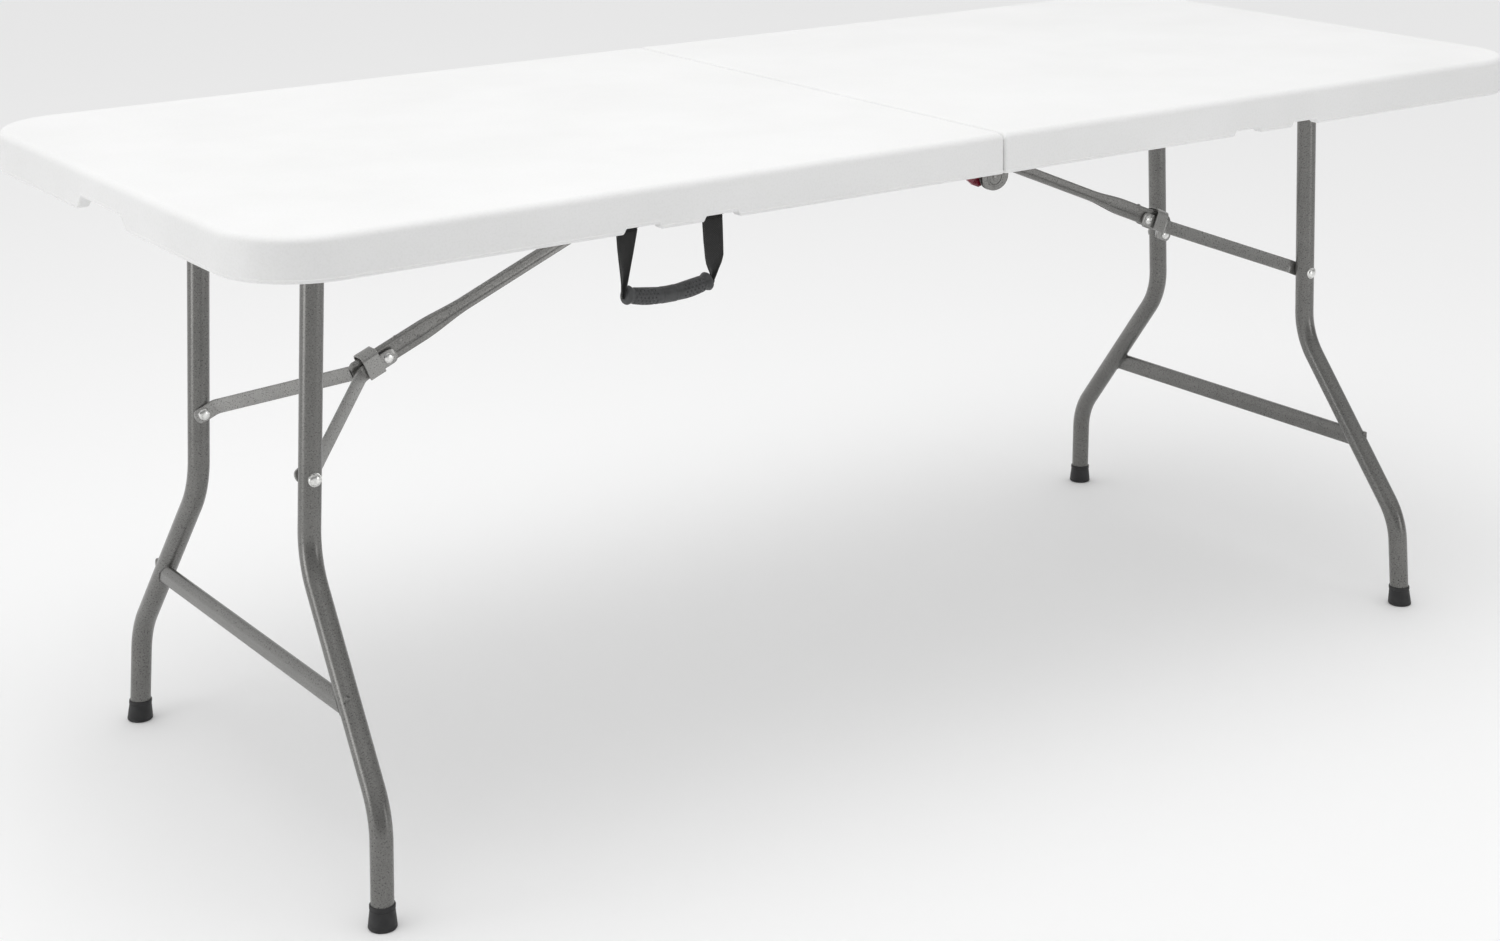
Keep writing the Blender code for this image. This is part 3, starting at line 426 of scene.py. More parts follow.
def white_plastic():
    """Blow-moulded polyethylene: a fine pebble grain and a faint unevenness."""
    made = Finish("white_moulded_plastic", "top_plastic", (0.86, 0.86, 0.855), 0.42)
    base = made.ramp(made.noise(7.0, 2.0), (0.25, (0.845, 0.846, 0.842)), (0.75, (0.885, 0.886, 0.884)))
    specks = made.ramp(made.noise(420.0, 2.0), (0.30, (0.965, 0.965, 0.962)), (0.55, 1.0))
    made.colour(made.mix(1.0, base, specks, "MULTIPLY"))
    made.rough(made.noise(60.0), 0.36, 0.52)
    made.bump(made.cells(620.0), 0.10, 0.0002)
    made.bump(made.noise(26.0, 2.0), 0.05, 0.0010)
    made.set(Subsurface_Weight=0.05, Subsurface_Radius=(0.004, 0.004, 0.0035), Specular_IOR_Level=0.45)
    return made


def hammered_steel(name, grain, dark, light, sparkle):
    """Grey hammered powder coat: faintly mottled and semi-gloss, with fine bright flecks."""
    made = Finish(name, "frame_steel", light, 0.34, 0.55)
    mottle = made.noise(grain, 3.0, 0.6)
    base = made.ramp(mottle, (0.32, dark), (0.68, light))
    drift = made.ramp(made.noise(30.0, 2.0), (0.3, 0.90), (0.7, 1.0))
    base = made.mix(1.0, base, drift, "MULTIPLY")
    flecks = made.ramp(made.cells(grain * 1.6), (0.08, 1.0), (0.20, 0.0))
    gate = made.ramp(made.noise(grain * 0.7, 1.0), (0.50, 0.0), (0.60, 0.8))
    made.colour(made.mix(made.mix(1.0, flecks, gate, "MULTIPLY"), base, sparkle))
    made.rough(mottle, 0.22, 0.36)
    made.bump(mottle, 0.08, 0.0002)
    made.bump(made.noise(130.0, 2.0), 0.08, 0.0006)
    made.set(Coat_Weight=0.15, Coat_Roughness=0.22)
    return made


def bright_steel():
    made = Finish("zinc_bright_steel", "bright_steel", (0.72, 0.72, 0.70), 0.25, 1.0)
    cloud = made.noise(260.0, 4.0)
    made.colour(made.ramp(cloud, (0.30, (0.56, 0.56, 0.55)), (0.62, (0.86, 0.86, 0.84))))
    made.rough(cloud, 0.16, 0.38)
    made.bump(made.noise(900.0, 2.0), 0.08, 0.0001)
    return made


def rubber():
    made = Finish("black_cap_rubber", "cap_rubber", (0.035, 0.035, 0.037), 0.5)
    dust = made.noise(90.0, 4.0)
    made.colour(made.ramp(dust, (0.35, (0.010, 0.010, 0.011)), (0.75, (0.026, 0.026, 0.027))))
    made.rough(dust, 0.42, 0.64)
    made.bump(made.noise(700.0), 0.14, 0.0002)
    return made


def webbing():
    """Woven strap: a diagonal weave and edge bands that follow the strap's own coordinates."""
    made = Finish("black_webbing", "webbing", (0.03, 0.03, 0.03), 0.85)
    source = made.node("ShaderNodeUVMap").outputs["UV"]
    waves = []
    for turn in (40, 130):
        mapping = made.node("ShaderNodeMapping", Rotation=(0, 0, radians(turn)))
        made.link(source, mapping.inputs["Vector"])
        wave = made.node("ShaderNodeTexWave", Scale=190.0, Distortion=0.4, Detail=1.0)
        made.link(mapping.outputs["Vector"], wave.inputs["Vector"])
        waves.append(wave.outputs["Fac"])
    weave = made.mix(0.5, *waves)
    fibres = made.noise(1500.0)
    base = made.ramp(weave, (0.25, 0.005), (0.75, (0.024, 0.024, 0.023)))
    lint = made.ramp(fibres, (0.4, 0.75), (0.75, 1.3))
    split = made.node("ShaderNodeSeparateXYZ")
    made.link(source, split.inputs[0])
    away = made.node("ShaderNodeMath", operation="ABSOLUTE")
    made.link(split.outputs["X"], away.inputs[0])
    share = made.node("ShaderNodeMath", operation="MULTIPLY")
    share.inputs[1].default_value = 1 / STRAP_HALF
    made.link(away.outputs[0], share.inputs[0])
    selvedge = made.ramp(share.outputs[0], (0.76, 1.0), (0.81, 0.3), (0.86, 1.5))
    base = made.mix(1.0, base, selvedge, "MULTIPLY")
    made.colour(made.mix(1.0, base, lint, "MULTIPLY"))
    made.rough(fibres, 0.72, 0.95)
    made.bump(weave, 0.6, 0.0004)
    made.bump(fibres, 0.25, 0.0002)
    made.set(Sheen_Weight=0.25, Sheen_Roughness=0.5)
    return made


def moulded_plastic(name, slot, dark, light, low, high, grain=500.0):
    """A clouded moulding with its roughness between low and high."""
    made = Finish(name, slot, light, (low + high) / 2)
    cloud = made.noise(120.0, 4.0)
    made.colour(made.ramp(cloud, (0.3, dark), (0.7, light)))
    made.rough(cloud, low, high)
    made.bump(made.noise(grain), 0.12, 0.0002)
    return made


PLASTIC = white_plastic()
STEEL = hammered_steel("hammered_grey_steel", 560.0,
                       (0.144, 0.143, 0.137), (0.210, 0.208, 0.199), (0.56, 0.56, 0.54))
# A lighter copy of the frame's grey hammered coat for the arms and the lock ring: painted light, standing in for
# the brighter light that their flat faces catch
PAINTED_LIGHTER_STEEL = hammered_steel("hammered_steel_painted_lighter", 600.0,
                      (0.270, 0.268, 0.260), (0.400, 0.397, 0.385), (0.66, 0.66, 0.64))
PRESSED = hammered_steel("hammered_pressed_steel", 640.0,
                         (0.175, 0.173, 0.166), (0.272, 0.269, 0.258), (0.62, 0.62, 0.60))
BRIGHT = bright_steel()
RUBBER = rubber()
WEBBING = webbing()
GRIP = moulded_plastic("soft_grip_plastic", "grip_plastic",
                       (0.040, 0.041, 0.042), (0.070, 0.071, 0.073), 0.38, 0.58)
NYLON = moulded_plastic("natural_nylon", "bush_nylon", (0.48, 0.48, 0.45), (0.60, 0.60, 0.56), 0.38, 0.55)
RED = moulded_plastic("red_latch_plastic", "latch_plastic",
                      (0.115, 0.002, 0.012), (0.22, 0.004, 0.022), 0.16, 0.32, 300.0)
THREAD = moulded_plastic("black_stitching", "webbing",
                         (0.015, 0.015, 0.016), (0.035, 0.035, 0.036), 0.6, 0.85, 1500.0)


# ---------- moulded top


def steps_between(low, high, coarse, fine, spots):
    """Values from low to high: coarse steps, with fine ones near each spot."""
    values = {low, high}
    count = int((high - low) / coarse)
    values.update(low + (high - low) * i / count for i in range(count + 1))
    for centre, reach in spots:
        number = int(2 * reach / fine)
        values.update(centre - reach + fine * i for i in range(number + 1))
    ordered = sorted(v for v in values if low <= v <= high)
    kept = [ordered[0]]
    for value in ordered[1:]:
        if value - kept[-1] > fine * 0.45:
            kept.append(value)
    kept[-1] = high
    return kept


# Steps along the outline's straight stretches, fine where a notch or the skirt's wall changes the height.
LONG_STEPS = steps_between(
    SEAM + SEAM_CORNER, LENGTH / 2 - CORNER, 0.040, 0.0012,
    [(c + s * 0.0213, 0.0050) for c in STRAP_NOTCHES for s in (-1, 1)],
)
END_STEPS = steps_between(
    CORNER - WIDTH / 2, WIDTH / 2 - CORNER, 0.040, 0.0016, [(-0.061, 0.013), (0.061, 0.013)]
)
SEAM_STEPS = steps_between(
    SEAM_CORNER - WIDTH / 2, WIDTH / 2 - SEAM_CORNER, 0.060, 0.0008,
    [(s * (WIDTH / 2 - SKIRT_WALL), 0.0016) for s in (-1, 1)],
)


def outline(side, inset, seam_inset):
    """Plan outline of one half, with the same number of points at every inset."""
    outer_x = LENGTH / 2 - inset
    seam_x = SEAM + seam_inset
    half_y = WIDTH / 2 - inset
    big = CORNER - inset
    first_x = seam_x + SEAM_CORNER
    last_y = half_y - SEAM_CORNER
    points = quarter((outer_x - big, half_y - big), big, 0, CORNER_STEPS)
    points += [(max(x, first_x), half_y) for x in LONG_STEPS[-2:0:-1]]
    points += quarter((first_x, last_y), SEAM_CORNER, 90, SEAM_CORNER_STEPS)
    points += [(seam_x, min(max(y, -last_y), last_y)) for y in SEAM_STEPS[-2:0:-1]]
    points += quarter((first_x, -last_y), SEAM_CORNER, 180, SEAM_CORNER_STEPS)
    points += [(max(x, first_x), -half_y) for x in LONG_STEPS[1:-1]]
    points += quarter((outer_x - big, big - half_y), big, 270, CORNER_STEPS)
    points += [(outer_x, y) for y in END_STEPS[1:-1]]
    return [(side * x, y) for x, y in points]


def notch(distance, shape):
    mouth, floor, depth = shape
    return depth * smooth(0.0, 1.0, (mouth - abs(distance)) / (mouth - floor))


def rim_height(x, y):
    """Height of the skirt's bottom edge under a point of the outline."""
    x = abs(x)
    if x < SEAM + 0.0035 and abs(y) < WIDTH / 2 - SKIRT_WALL:
        return SKIN_Z
    if x > LENGTH / 2 - 0.01:
        return SKIRT_Z + notch(y, HAND_NOTCH)
    if abs(y) > WIDTH / 2 - 0.01:
        return SKIRT_Z + sum(notch(x - c, STRAP_NOTCH) for c in STRAP_NOTCHES)
    return SKIRT_Z


def pulled_in(x, y, inset):
    """The point itself, or its place on the inset corner arc if it lies past it."""
    centre_x, centre_y, limit = LENGTH / 2 - CORNER, WIDTH / 2 - CORNER, CORNER - inset
    if x > centre_x and abs(y) > centre_y:
        arm = Vector((x - centre_x, abs(y) - centre_y))
        if arm.length > limit:
            arm = arm.normalized() * limit
            return centre_x + arm.x, copysign(centre_y + arm.y, y)
    return x, y


def inner_point(side, x, y):
    """The point of the skirt's inner face that belongs to a point of its outer face."""
    half_y = WIDTH / 2 - SKIRT_WALL
    if abs(x) < SEAM + SEAM_CORNER:
        return side * (SEAM + SEAM_WALL), min(max(y, -half_y), half_y)
    if abs(x) > LENGTH / 2 - CORNER and abs(y) > WIDTH / 2 - CORNER:
        x, y = pulled_in(abs(x), y, SKIRT_WALL)
        return side * x, y
    if abs(y) > half_y:
        return x, copysign(half_y, y)
    return side * (LENGTH / 2 - SKIRT_WALL), y


def top_shell(side):
    """The outer skin: inner wall, rounded bottom edge, skirt, rounded top edge and the top itself."""
    base = outline(side, 0.0, 0.0)
    rims = [rim_height(x, y) for x, y in base]
    inner = [inner_point(side, x, y) for x, y in base]
    wall_top = SKIN_Z + 0.003
    rings = [[Vector((x, y, wall_top)) for x, y in inner]]
    for share, rise in ((0.0, 0.0016), (0.04, 0.0005), (0.13, 0.0)):
        rings.append([
            Vector((ix + (x - ix) * share, iy + (y - iy) * share, min(rim + rise, wall_top)))
            for (ix, iy), (x, y), rim in zip(inner, base, rims)
        ])
    for inset, rise in LIP:
        lip = outline(side, inset, inset * 0.5)
        rings.append([Vector((x, y, rim + rise)) for (x, y), rim in zip(lip, rims)])
    for i in range(EDGE_STEPS + 1):
        turn = pi / 2 * i / EDGE_STEPS
        inset = DRAFT + EDGE * (1 - cos(turn))
        level = outline(side, inset, SEAM_EDGE * (1 - cos(turn)))
        rings.append([Vector((x, y, TOP_Z - EDGE * (1 - sin(turn)))) for x, y in level])
    rings.append([Vector((x, y, TOP_Z)) for x, y in outline(side, *TOP_INSETS)])
    points, faces = loft(rings, caps=False)
    count = len(base)
    faces.append(tuple((len(rings) - 1) * count + j for j in range(count)))
    return points, faces


def panel_height(x, y):
    """Underside of the lower skin: a channel for the brace, and moulded dimples between the skins."""
    near, far, beside = CHANNEL_SLOPES
    depth = smooth(*near, x) * (1 - smooth(*far, x)) * (1 - smooth(*beside, abs(y)))
    if depth > 0.001:
        return SKIN_Z + (CHANNEL_Z - SKIN_Z) * depth
    cell_x = round((x - DIMPLE_X) / DIMPLE_PITCH)
    cell_y = round((abs(y) - DIMPLE_Y) / DIMPLE_PITCH)
    centre = Vector((DIMPLE_X + cell_x * DIMPLE_PITCH, DIMPLE_Y + cell_y * DIMPLE_PITCH))
    in_rows = 0 < cell_x < 24 and cell_y < 10
    if not in_rows or (centre.y < DIMPLE_FREE_Y and centre.x < DIMPLE_FREE_X):
        return SKIN_Z
    gap = (Vector((x, abs(y))) - centre).length
    return SKIN_Z + DIMPLE_DEPTH * (1 - smooth(DIMPLE_FLOOR, DIMPLE_RIM, gap))


def top_panel(side):
    step = DIMPLE_PITCH / 8
    low_x, high_x = SEAM + SEAM_WALL, LENGTH / 2 - SKIRT_WALL / 2
    half_y = WIDTH / 2 - SKIRT_WALL / 2
    xs = [DIMPLE_X + step * i for i in range(-5, 190)]
    xs = [low_x] + [x for x in xs if low_x + 0.001 < x < high_x - 0.001] + [high_x]
    ys = [step * i for i in range(-81, 82)]
    ys = [-half_y] + [y for y in ys if abs(y) < half_y - 0.001] + [half_y]
    points = []
    for x in xs:
        for y in ys:
            px, py = pulled_in(x, y, SKIRT_WALL / 2)
            points.append(Vector((side * px, py, panel_height(px, py))))
    return points, grid(len(xs), len(ys))


# ---------- leg frames


class LegFrame:
    """Places in a splayed leg frame: drop runs down it from its pivot, out is away from the middle."""

    def __init__(self, word, side):
        self.pivot = Vector(JOINTS[word + "_leg_fold"]["pos_m"])
        foot = MOUNTS[word + "_foot_front"]
        self.foot_y = abs(foot.y)
        line = Vector((foot.x, 0, foot.z)) - self.pivot
        self.down = line.normalized()
        self.out = Vector((-side * self.down.z, 0, side * self.down.x))
        self.length = line.length
        self.top_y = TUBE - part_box(word + "_leg_tube_front")[1].y
        self.lean = (LOWER_BEND_Y - self.top_y) / (LOWER_BEND - UPPER_BEND)
        low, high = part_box(word + "_leg_rivet_front")
        self.rivet_drop = ((low + high) / 2 - self.pivot).dot(self.down)

    def at(self, drop, y, out=0.0):
        return self.pivot + self.down * drop + self.out * out + Vector((0, y, 0))

    def path(self, near, end):
        share = (end - LOWER_BEND) / (self.length - LOWER_BEND)
        foot_y = LOWER_BEND_Y + (self.foot_y - LOWER_BEND_Y) * share
        return rounded_path([
            self.at(0.0, near * self.top_y),
            self.at(UPPER_BEND, near * self.top_y),
            self.at(LOWER_BEND, near * LOWER_BEND_Y),
            self.at(end, near * foot_y),
        ], BEND_RADIUS)


def hit(point, direction, centre, axis, radius):
    """Where a line first meets a cylinder."""
    axis = axis.normalized()
    start = point - centre
    start -= axis * start.dot(axis)
    step = direction - axis * direction.dot(axis)
    a, b, c = step.dot(step), 2 * start.dot(step), start.dot(start) - radius * radius
    root = sqrt(max(b * b - 4 * a * c, 0.0))
    return point + direction * ((-b - root) / (2 * a))


def oval(grow=0.0):
    """Section of the crossbar: a flattened tube with a soft ridge on its face."""
    points = []
    for across, along in circle(1, 48):
        flat = copysign(abs(across) ** 0.62, across)
        tall = copysign(abs(along) ** 0.86, along)
        ridge = 0.0006 * exp(-((along + 0.15) / 0.22) ** 2) * (1 if across > 0 else -1)
        points.append((flat * (0.0046 + grow) + ridge, tall * (0.0125 + grow)))
    return points


def leg_frame(word, side):
    leg = LegFrame(word, side)
    body = word + "_leg"
    for edge, near in EDGES:
        tube = loft(sweep(leg.path(near, leg.length - TUBE_SHORT), circle(TUBE, 44), leg.out))
        cover(f"{word}_leg_tube_{edge}", "skin", tube, STEEL, body, 40)
        foot_cap(word, edge, near, leg)
        centre, along = leg.at(leg.rivet_drop, near * leg.top_y), (0, near, 0)
        head = turned(centre, along, [(0.006, 0.003)] + dome(TUBE - 0.0002, 0.0071, 0.0034))
        washer = turned(centre, along, [(TUBE - 0.0012, 0.0060), (TUBE - 0.0012, 0.0078),
                                        (TUBE + 0.0002, 0.0078), (TUBE + 0.0005, 0.0072)])
        cover(f"{word}_leg_rivet_{edge}", "head", joined(head, washer), BRIGHT, body)
        add(f"{word}_top_weld_{edge}", top_weld(leg, near), STEEL, body)
    # The pivot tube narrows to a spigot at each end.
    half, tip = PIVOT_HALF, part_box(word + "_pivot_tube")[1].y - 0.0001
    end = [(half + 0.0065 * i / 8, TUBE - 0.0075 * (i / 8) ** 1.6) for i in range(9)]
    end += [(half + 0.0066, 0.0048), (half + 0.0085, 0.0030), (tip - 0.0006, 0.0030), (tip, 0.0020)]
    pivot_tube = turned(leg.pivot, (0, 1, 0), mirrored(end) + end)
    cover(word + "_pivot_tube", "skin", pivot_tube, STEEL, body)
    crossbar(word, leg)


def crossbar(word, leg):
    body = word + "_leg"
    centre_y = leg.top_y + (CROSSBAR_DROP - UPPER_BEND) * leg.lean
    reach = centre_y + 0.002
    flare = leg.lean * 0.9
    bar = []
    for share, sign in ((-1.0, -1), (-0.5, -1), (0.0, 0), (0.5, 1), (1.0, 1)):
        bar.append([
            leg.at(CROSSBAR_DROP + b, reach * share + sign * abs(b) * flare, CROSSBAR_OUT + a)
            for a, b in oval()
        ])
    cover(word + "_crossbar", "skin", loft(bar), STEEL, body, 40)
    for edge, near in EDGES:
        axis = leg.at(1.0, near * leg.lean) - leg.at(0.0, 0.0)
        middle = leg.at(CROSSBAR_DROP, near * centre_y)
        loop = []
        for a, b in oval(0.0003):
            if abs(CROSSBAR_OUT + a) < TUBE * 0.985:
                start = leg.at(CROSSBAR_DROP + b, 0.0, CROSSBAR_OUT + a)
                loop.append(hit(start, Vector((0, near, 0)), middle, axis, TUBE))
        add(f"{word}_crossbar_weld_{edge}", thread(loop, *CROSSBAR_WELD), STEEL, body)


def top_weld(leg, near):
    """The weld bead where a leg tube meets the pivot tube."""
    loop = []
    for across, along in circle(1, 40):
        out = TUBE * along
        drop = sqrt(max(TUBE * TUBE - out * out, 0.0)) * 0.98 + 0.0006
        y = near * leg.top_y + (TUBE + 0.0004) * across
        loop.append(leg.at(max(drop, 0.0022), y, out * 0.97))
    return thread(loop, *TOP_WELD)


def foot_cap(word, edge, near, leg):
    """A cap with a grooved foot, a conical wall and a bead round the tube."""
    path = leg.path(near, leg.length)
    foot = path[-1]
    lean = (path[-2] - foot) / (path[-2] - foot).z
    node = f"{word}_foot_cap_{edge}"
    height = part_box(node)[1].z
    wide, narrow, wall = CAP_WIDE, CAP_NARROW, CAP_WIDE - 0.0003
    levels = [(0.0, 0.0004), (0.0, 0.0060), (0.0008, 0.0066), (0.0008, 0.0100), (0.0, 0.0106)]
    levels += [(0.0, wide - 0.0016), (0.0005, wide - 0.0006), (0.0016, wide), (0.0034, wide)]
    levels += [(0.0042, wide - 0.0005), (0.0050, wide - 0.00025)]
    levels += [(z, wall - (wall - narrow) * (z - 0.006) / 0.014) for z in (0.008, 0.014, 0.020)]
    levels += [(0.0212, narrow), (0.0216, narrow - 0.0004), (0.0222, narrow - 0.0004)]
    levels += [(0.0226, narrow + 0.0003), (height - 0.0012, narrow + 0.0003)]
    levels += [(height - 0.0003, narrow - 0.0001), (height, narrow - 0.0006)]
    levels += [(height - 0.0002, TUBE + 0.0002), (height - 0.003, TUBE - 0.0004)]
    cap = loft([ring(foot + lean * z, (0, 0, 1), radius, 56) for z, radius in levels])
    cover(node, "rubber", cap, RUBBER, word + "_leg", 35)


# ---------- knee braces


class Brace:
    """Places along one brace: run goes down it from the strut's pivot, rise is square to it."""

    def __init__(self, word, side):
        self.start = Vector(JOINTS[word + "_strut_swing"]["pos_m"])
        knee = Vector(JOINTS[word + "_arms_swing"]["pos_m"])
        self.knee = (knee - self.start).length
        self.along = (knee - self.start).normalized()
        self.up = Vector((-side * self.along.z, 0, side * self.along.x))
        low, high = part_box(word + "_arm_rivet_front")
        self.end = ((low + high) / 2 - self.start).dot(self.along)

    def at(self, run, y, rise):
        return self.start + self.along * run + self.up * rise + Vector((0, y, 0))


def strut_section(high, low):
    """Section of the channel: rolled upper corners, a pressed step in each side, a short foot."""
    half, wall, roll, proud = STRUT_HALF, 0.0011, 0.0019, 0.00055
    step = low + (high - low) * 0.34
    outer = [(half, low + 0.0003), (half, step - 0.0010), (half - proud * 0.35, step - 0.0002),
             (half - proud, step + 0.0008), (half - proud, high - roll - 0.0030),
             (half - proud * 0.4, high - roll - 0.0018)]
    outer += quarter((half - roll, high - roll), roll, 0, 6) + [(half * 0.2, high)]
    inner = [(half - wall - proud, low), (half - wall - proud, high - roll - 0.0004),
             (half - wall - 0.0012, high - wall - 0.0003)]
    return channel(outer, inner)


def strut(word, brace):
    """The pressed strut: narrow at its pivot, flared before the knee, with its ends cut to a curve."""
    knee, body = brace.knee, word + "_strut"
    narrow, broad = (0.0073, -0.0073), (0.0108, -0.0118)
    flare, flared = knee - 0.114, knee - 0.050
    tail_start, nose_start = -0.0060, knee + 0.0390
    runs = [-0.0100, -0.0094, -0.0080, tail_start, 0.0, 0.05, 0.15, 0.30, knee - 0.14]
    runs += [flare + 0.066 * i / 14 for i in range(15)]
    runs += [knee - 0.030, knee, knee + 0.030, nose_start, knee + 0.0415, knee + 0.0435, knee + 0.0448]
    rings = []
    for run in runs:
        wide = smooth(flare, flared, run)
        lift = STRUT_LIFT * run / knee
        high, low = (lift + a + (b - a) * wide for a, b in zip(narrow, broad))
        tail = max(tail_start - run, 0.0)
        nose = max(run - nose_start, 0.0)
        high -= 0.6 * tail + 70 * tail * tail + 0.25 * nose + 95 * nose * nose
        low += 0.5 * tail + 60 * tail * tail
        rings.append([brace.at(run, y, rise) for y, rise in strut_section(high, low)])
    face = STRUT_HALF - 0.0006
    bumps = [
        turned(brace.at(knee - 0.022, near * face, 0.0088), (0, near, 0),
               [(-0.001, 0.0036)] + dome(0.0, 0.0036, 0.0008), 28)
        for near in (-1, 1)
    ]
    bumps.append(turned(brace.at(knee - 0.020, 0.0, 0.0142), brace.up,
                        [(-0.001, 0.0027)] + dome(0.0, 0.0027, 0.0020), 32))
    add(word + "_strut_skin", joined(loft(rings), *bumps), PRESSED, body, word + "_brace_strut", 30)
    dimple = [(-0.0008, 0.0017), (0.0002, 0.0019), (0.0005, 0.0028), (0.0002, 0.0034), (-0.0004, 0.0034)]
    for edge, near in EDGES:
        place = brace.at(knee - 0.075, near * face, 0.0015)
        add(f"{word}_strut_dimple_{edge}", turned(place, (0, near, 0), dimple, 28, True), PRESSED, body)


def arm(word, brace, edge, near):
    """A flat bar with round ends: square on the knee, cranked out to lie on the leg tube."""
    knee, end, body = brace.knee, brace.end, word + "_arms"
    half = ARM_THICKNESS / 2
    leg_y = abs(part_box(f"{word}_brace_arm_{edge}")[0 if near < 0 else 1].y) - half
    corners = [(knee, ARM_Y, 0), (knee + 0.036, ARM_Y, 0), (end - 0.016, leg_y, 0), (end, leg_y, 0)]
    turns = [radians(a) for a in (88, 76, 62, 48, 34, 20, 8)]
    stations = [(Vector((knee - ARM_END * sin(a), ARM_Y, 0)), a) for a in turns]
    stations += [(place, 0.0) for place in rounded_path(corners, 0.012, 7)]
    stations += [(Vector((end + ARM_END * sin(a), leg_y, 0)), a) for a in turns[::-1]]
    rings = []
    last = len(stations) - 1
    for i, (place, turn) in enumerate(stations):
        tall = ARM_HALF * (1 - (1 - cos(turn)) ** 1.7)
        along = (stations[min(i + 1, last)][0] - stations[max(i - 1, 0)][0]).normalized()
        section = rounded_box(half, max(tall, 0.0012), min(0.0006, tall * 0.4), 3)
        rings.append([
            brace.at(place.x - along.y * a, near * (place.y + along.x * a), b) for a, b in section
        ])
    # The arm takes the frame's coat painted lighter: painted light on its flat faces
    add(f"{word}_arm_{edge}_skin", loft(rings), PAINTED_LIGHTER_STEEL, body, f"{word}_brace_arm_{edge}", 40)
    face = leg_y - half
    profile = [(-(face + 0.002), 0.003)] + [(-face + t, r) for t, r in dome(0.0, 0.0070, 0.0031)]
    head = turned(brace.at(end, 0, 0), (0, -near, 0), profile)
    cover(f"{word}_arm_rivet_{edge}", "head", head, BRIGHT, body)


def knee_and_ring(word, brace):
    face = ARM_Y + ARM_THICKNESS / 2
    profile = [(0.004, 0.003), (face, 0.003)] + dome(face, 0.0062, 0.0022)
    heads = [turned(brace.at(brace.knee, 0, 0), (0, near, 0), profile) for near in (-1, 1)]
    cover(word + "_knee_rivet", "heads", joined(*heads), BRIGHT, word + "_arms")
    low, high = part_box(word + "_lock_ring")
    half = (high.y - low.y) / 2
    centre = (half - RING_ROLL, RING_CROWN - RING_ROLL)
    rings = []
    for offset, grow in ((0.0, -0.0005), (0.0006, 0.0), (0.0105, 0.0), (0.0204, 0.0), (0.0210, -0.0005)):
        bottom = RING_BOTTOM - grow
        outer = [(half + grow, bottom)] + quarter(centre, RING_ROLL + grow, 0, 8)
        inner = [(half - RING_WALL - grow, bottom)] + quarter(centre, RING_ROLL - RING_WALL - grow, 0, 8)
        run = brace.knee + 0.0100 + offset
        rings.append([brace.at(run, y, rise) for y, rise in channel(outer, inner)])
    # The ring takes the frame's coat painted lighter: painted light on its flat faces
    cover(word + "_lock_ring", "skin", loft(rings), PAINTED_LIGHTER_STEEL, word + "_ring", 35)


# ---------- hardware under the top


def axis_of(joint):
    """A place on the axis of a joint that turns about y, at y = 0."""
    x, _, z = JOINTS[joint]["pos_m"]
    return x, 0, z


def reach_y(node):
    """Where a node at the front or back starts and ends, outwards from the middle."""
    low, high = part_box(node)
    return sorted((abs(low.y), abs(high.y)))


def half_hardware(word, side):
    body = word + "_half"
    inner, outer = reach_y(word + "_pivot_bush_front")
    step = inner + 0.0023
    bush = [(inner, 0.0034), (inner, 0.0074), (inner + 0.0004, 0.0079), (step - 0.0003, 0.0079),
            (step, 0.0075), (step, 0.0048), (outer, 0.0048), (outer, 0.0034)]
    screw = [(0.0, 0.0042), (0.0006, 0.0044), (0.0014, 0.0038), (0.0019, 0.0026), (0.0020, 0.0018),
             (0.0012, 0.0014), (0.0012, 0.0002)]
    for edge, near in EDGES:
        keep(f"{word}_rail_{edge}", STEEL)
        hinge_plate(word, side, edge, near)
        nylon = turned(axis_of(word + "_leg_fold"), (0, near, 0), bush, 40, True)
        cover(f"{word}_pivot_bush_{edge}", "nylon", nylon, NYLON, body)
        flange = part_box(f"{word}_rail_{edge}")[1].z - 0.0015
        screws = [turned((side * x, near * RAIL_SCREW_Y, flange), (0, 0, -1), screw, 28) for x in RAIL_SCREWS]
        add(f"{word}_rail_screws_{edge}", joined(*screws), BRIGHT, body)
    keep(word + "_strut_bracket", PRESSED, 0.0005)
    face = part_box(word + "_strut_bracket")[1].y + 0.0002
    end = [(face, 0.0030)] + dome(face, 0.0058, 0.0021)
    pin = turned(JOINTS[word + "_strut_swing"]["pos_m"], (0, 1, 0), mirrored(end) + end)
    cover(word + "_strut_pin", "steel", pin, BRIGHT, body)


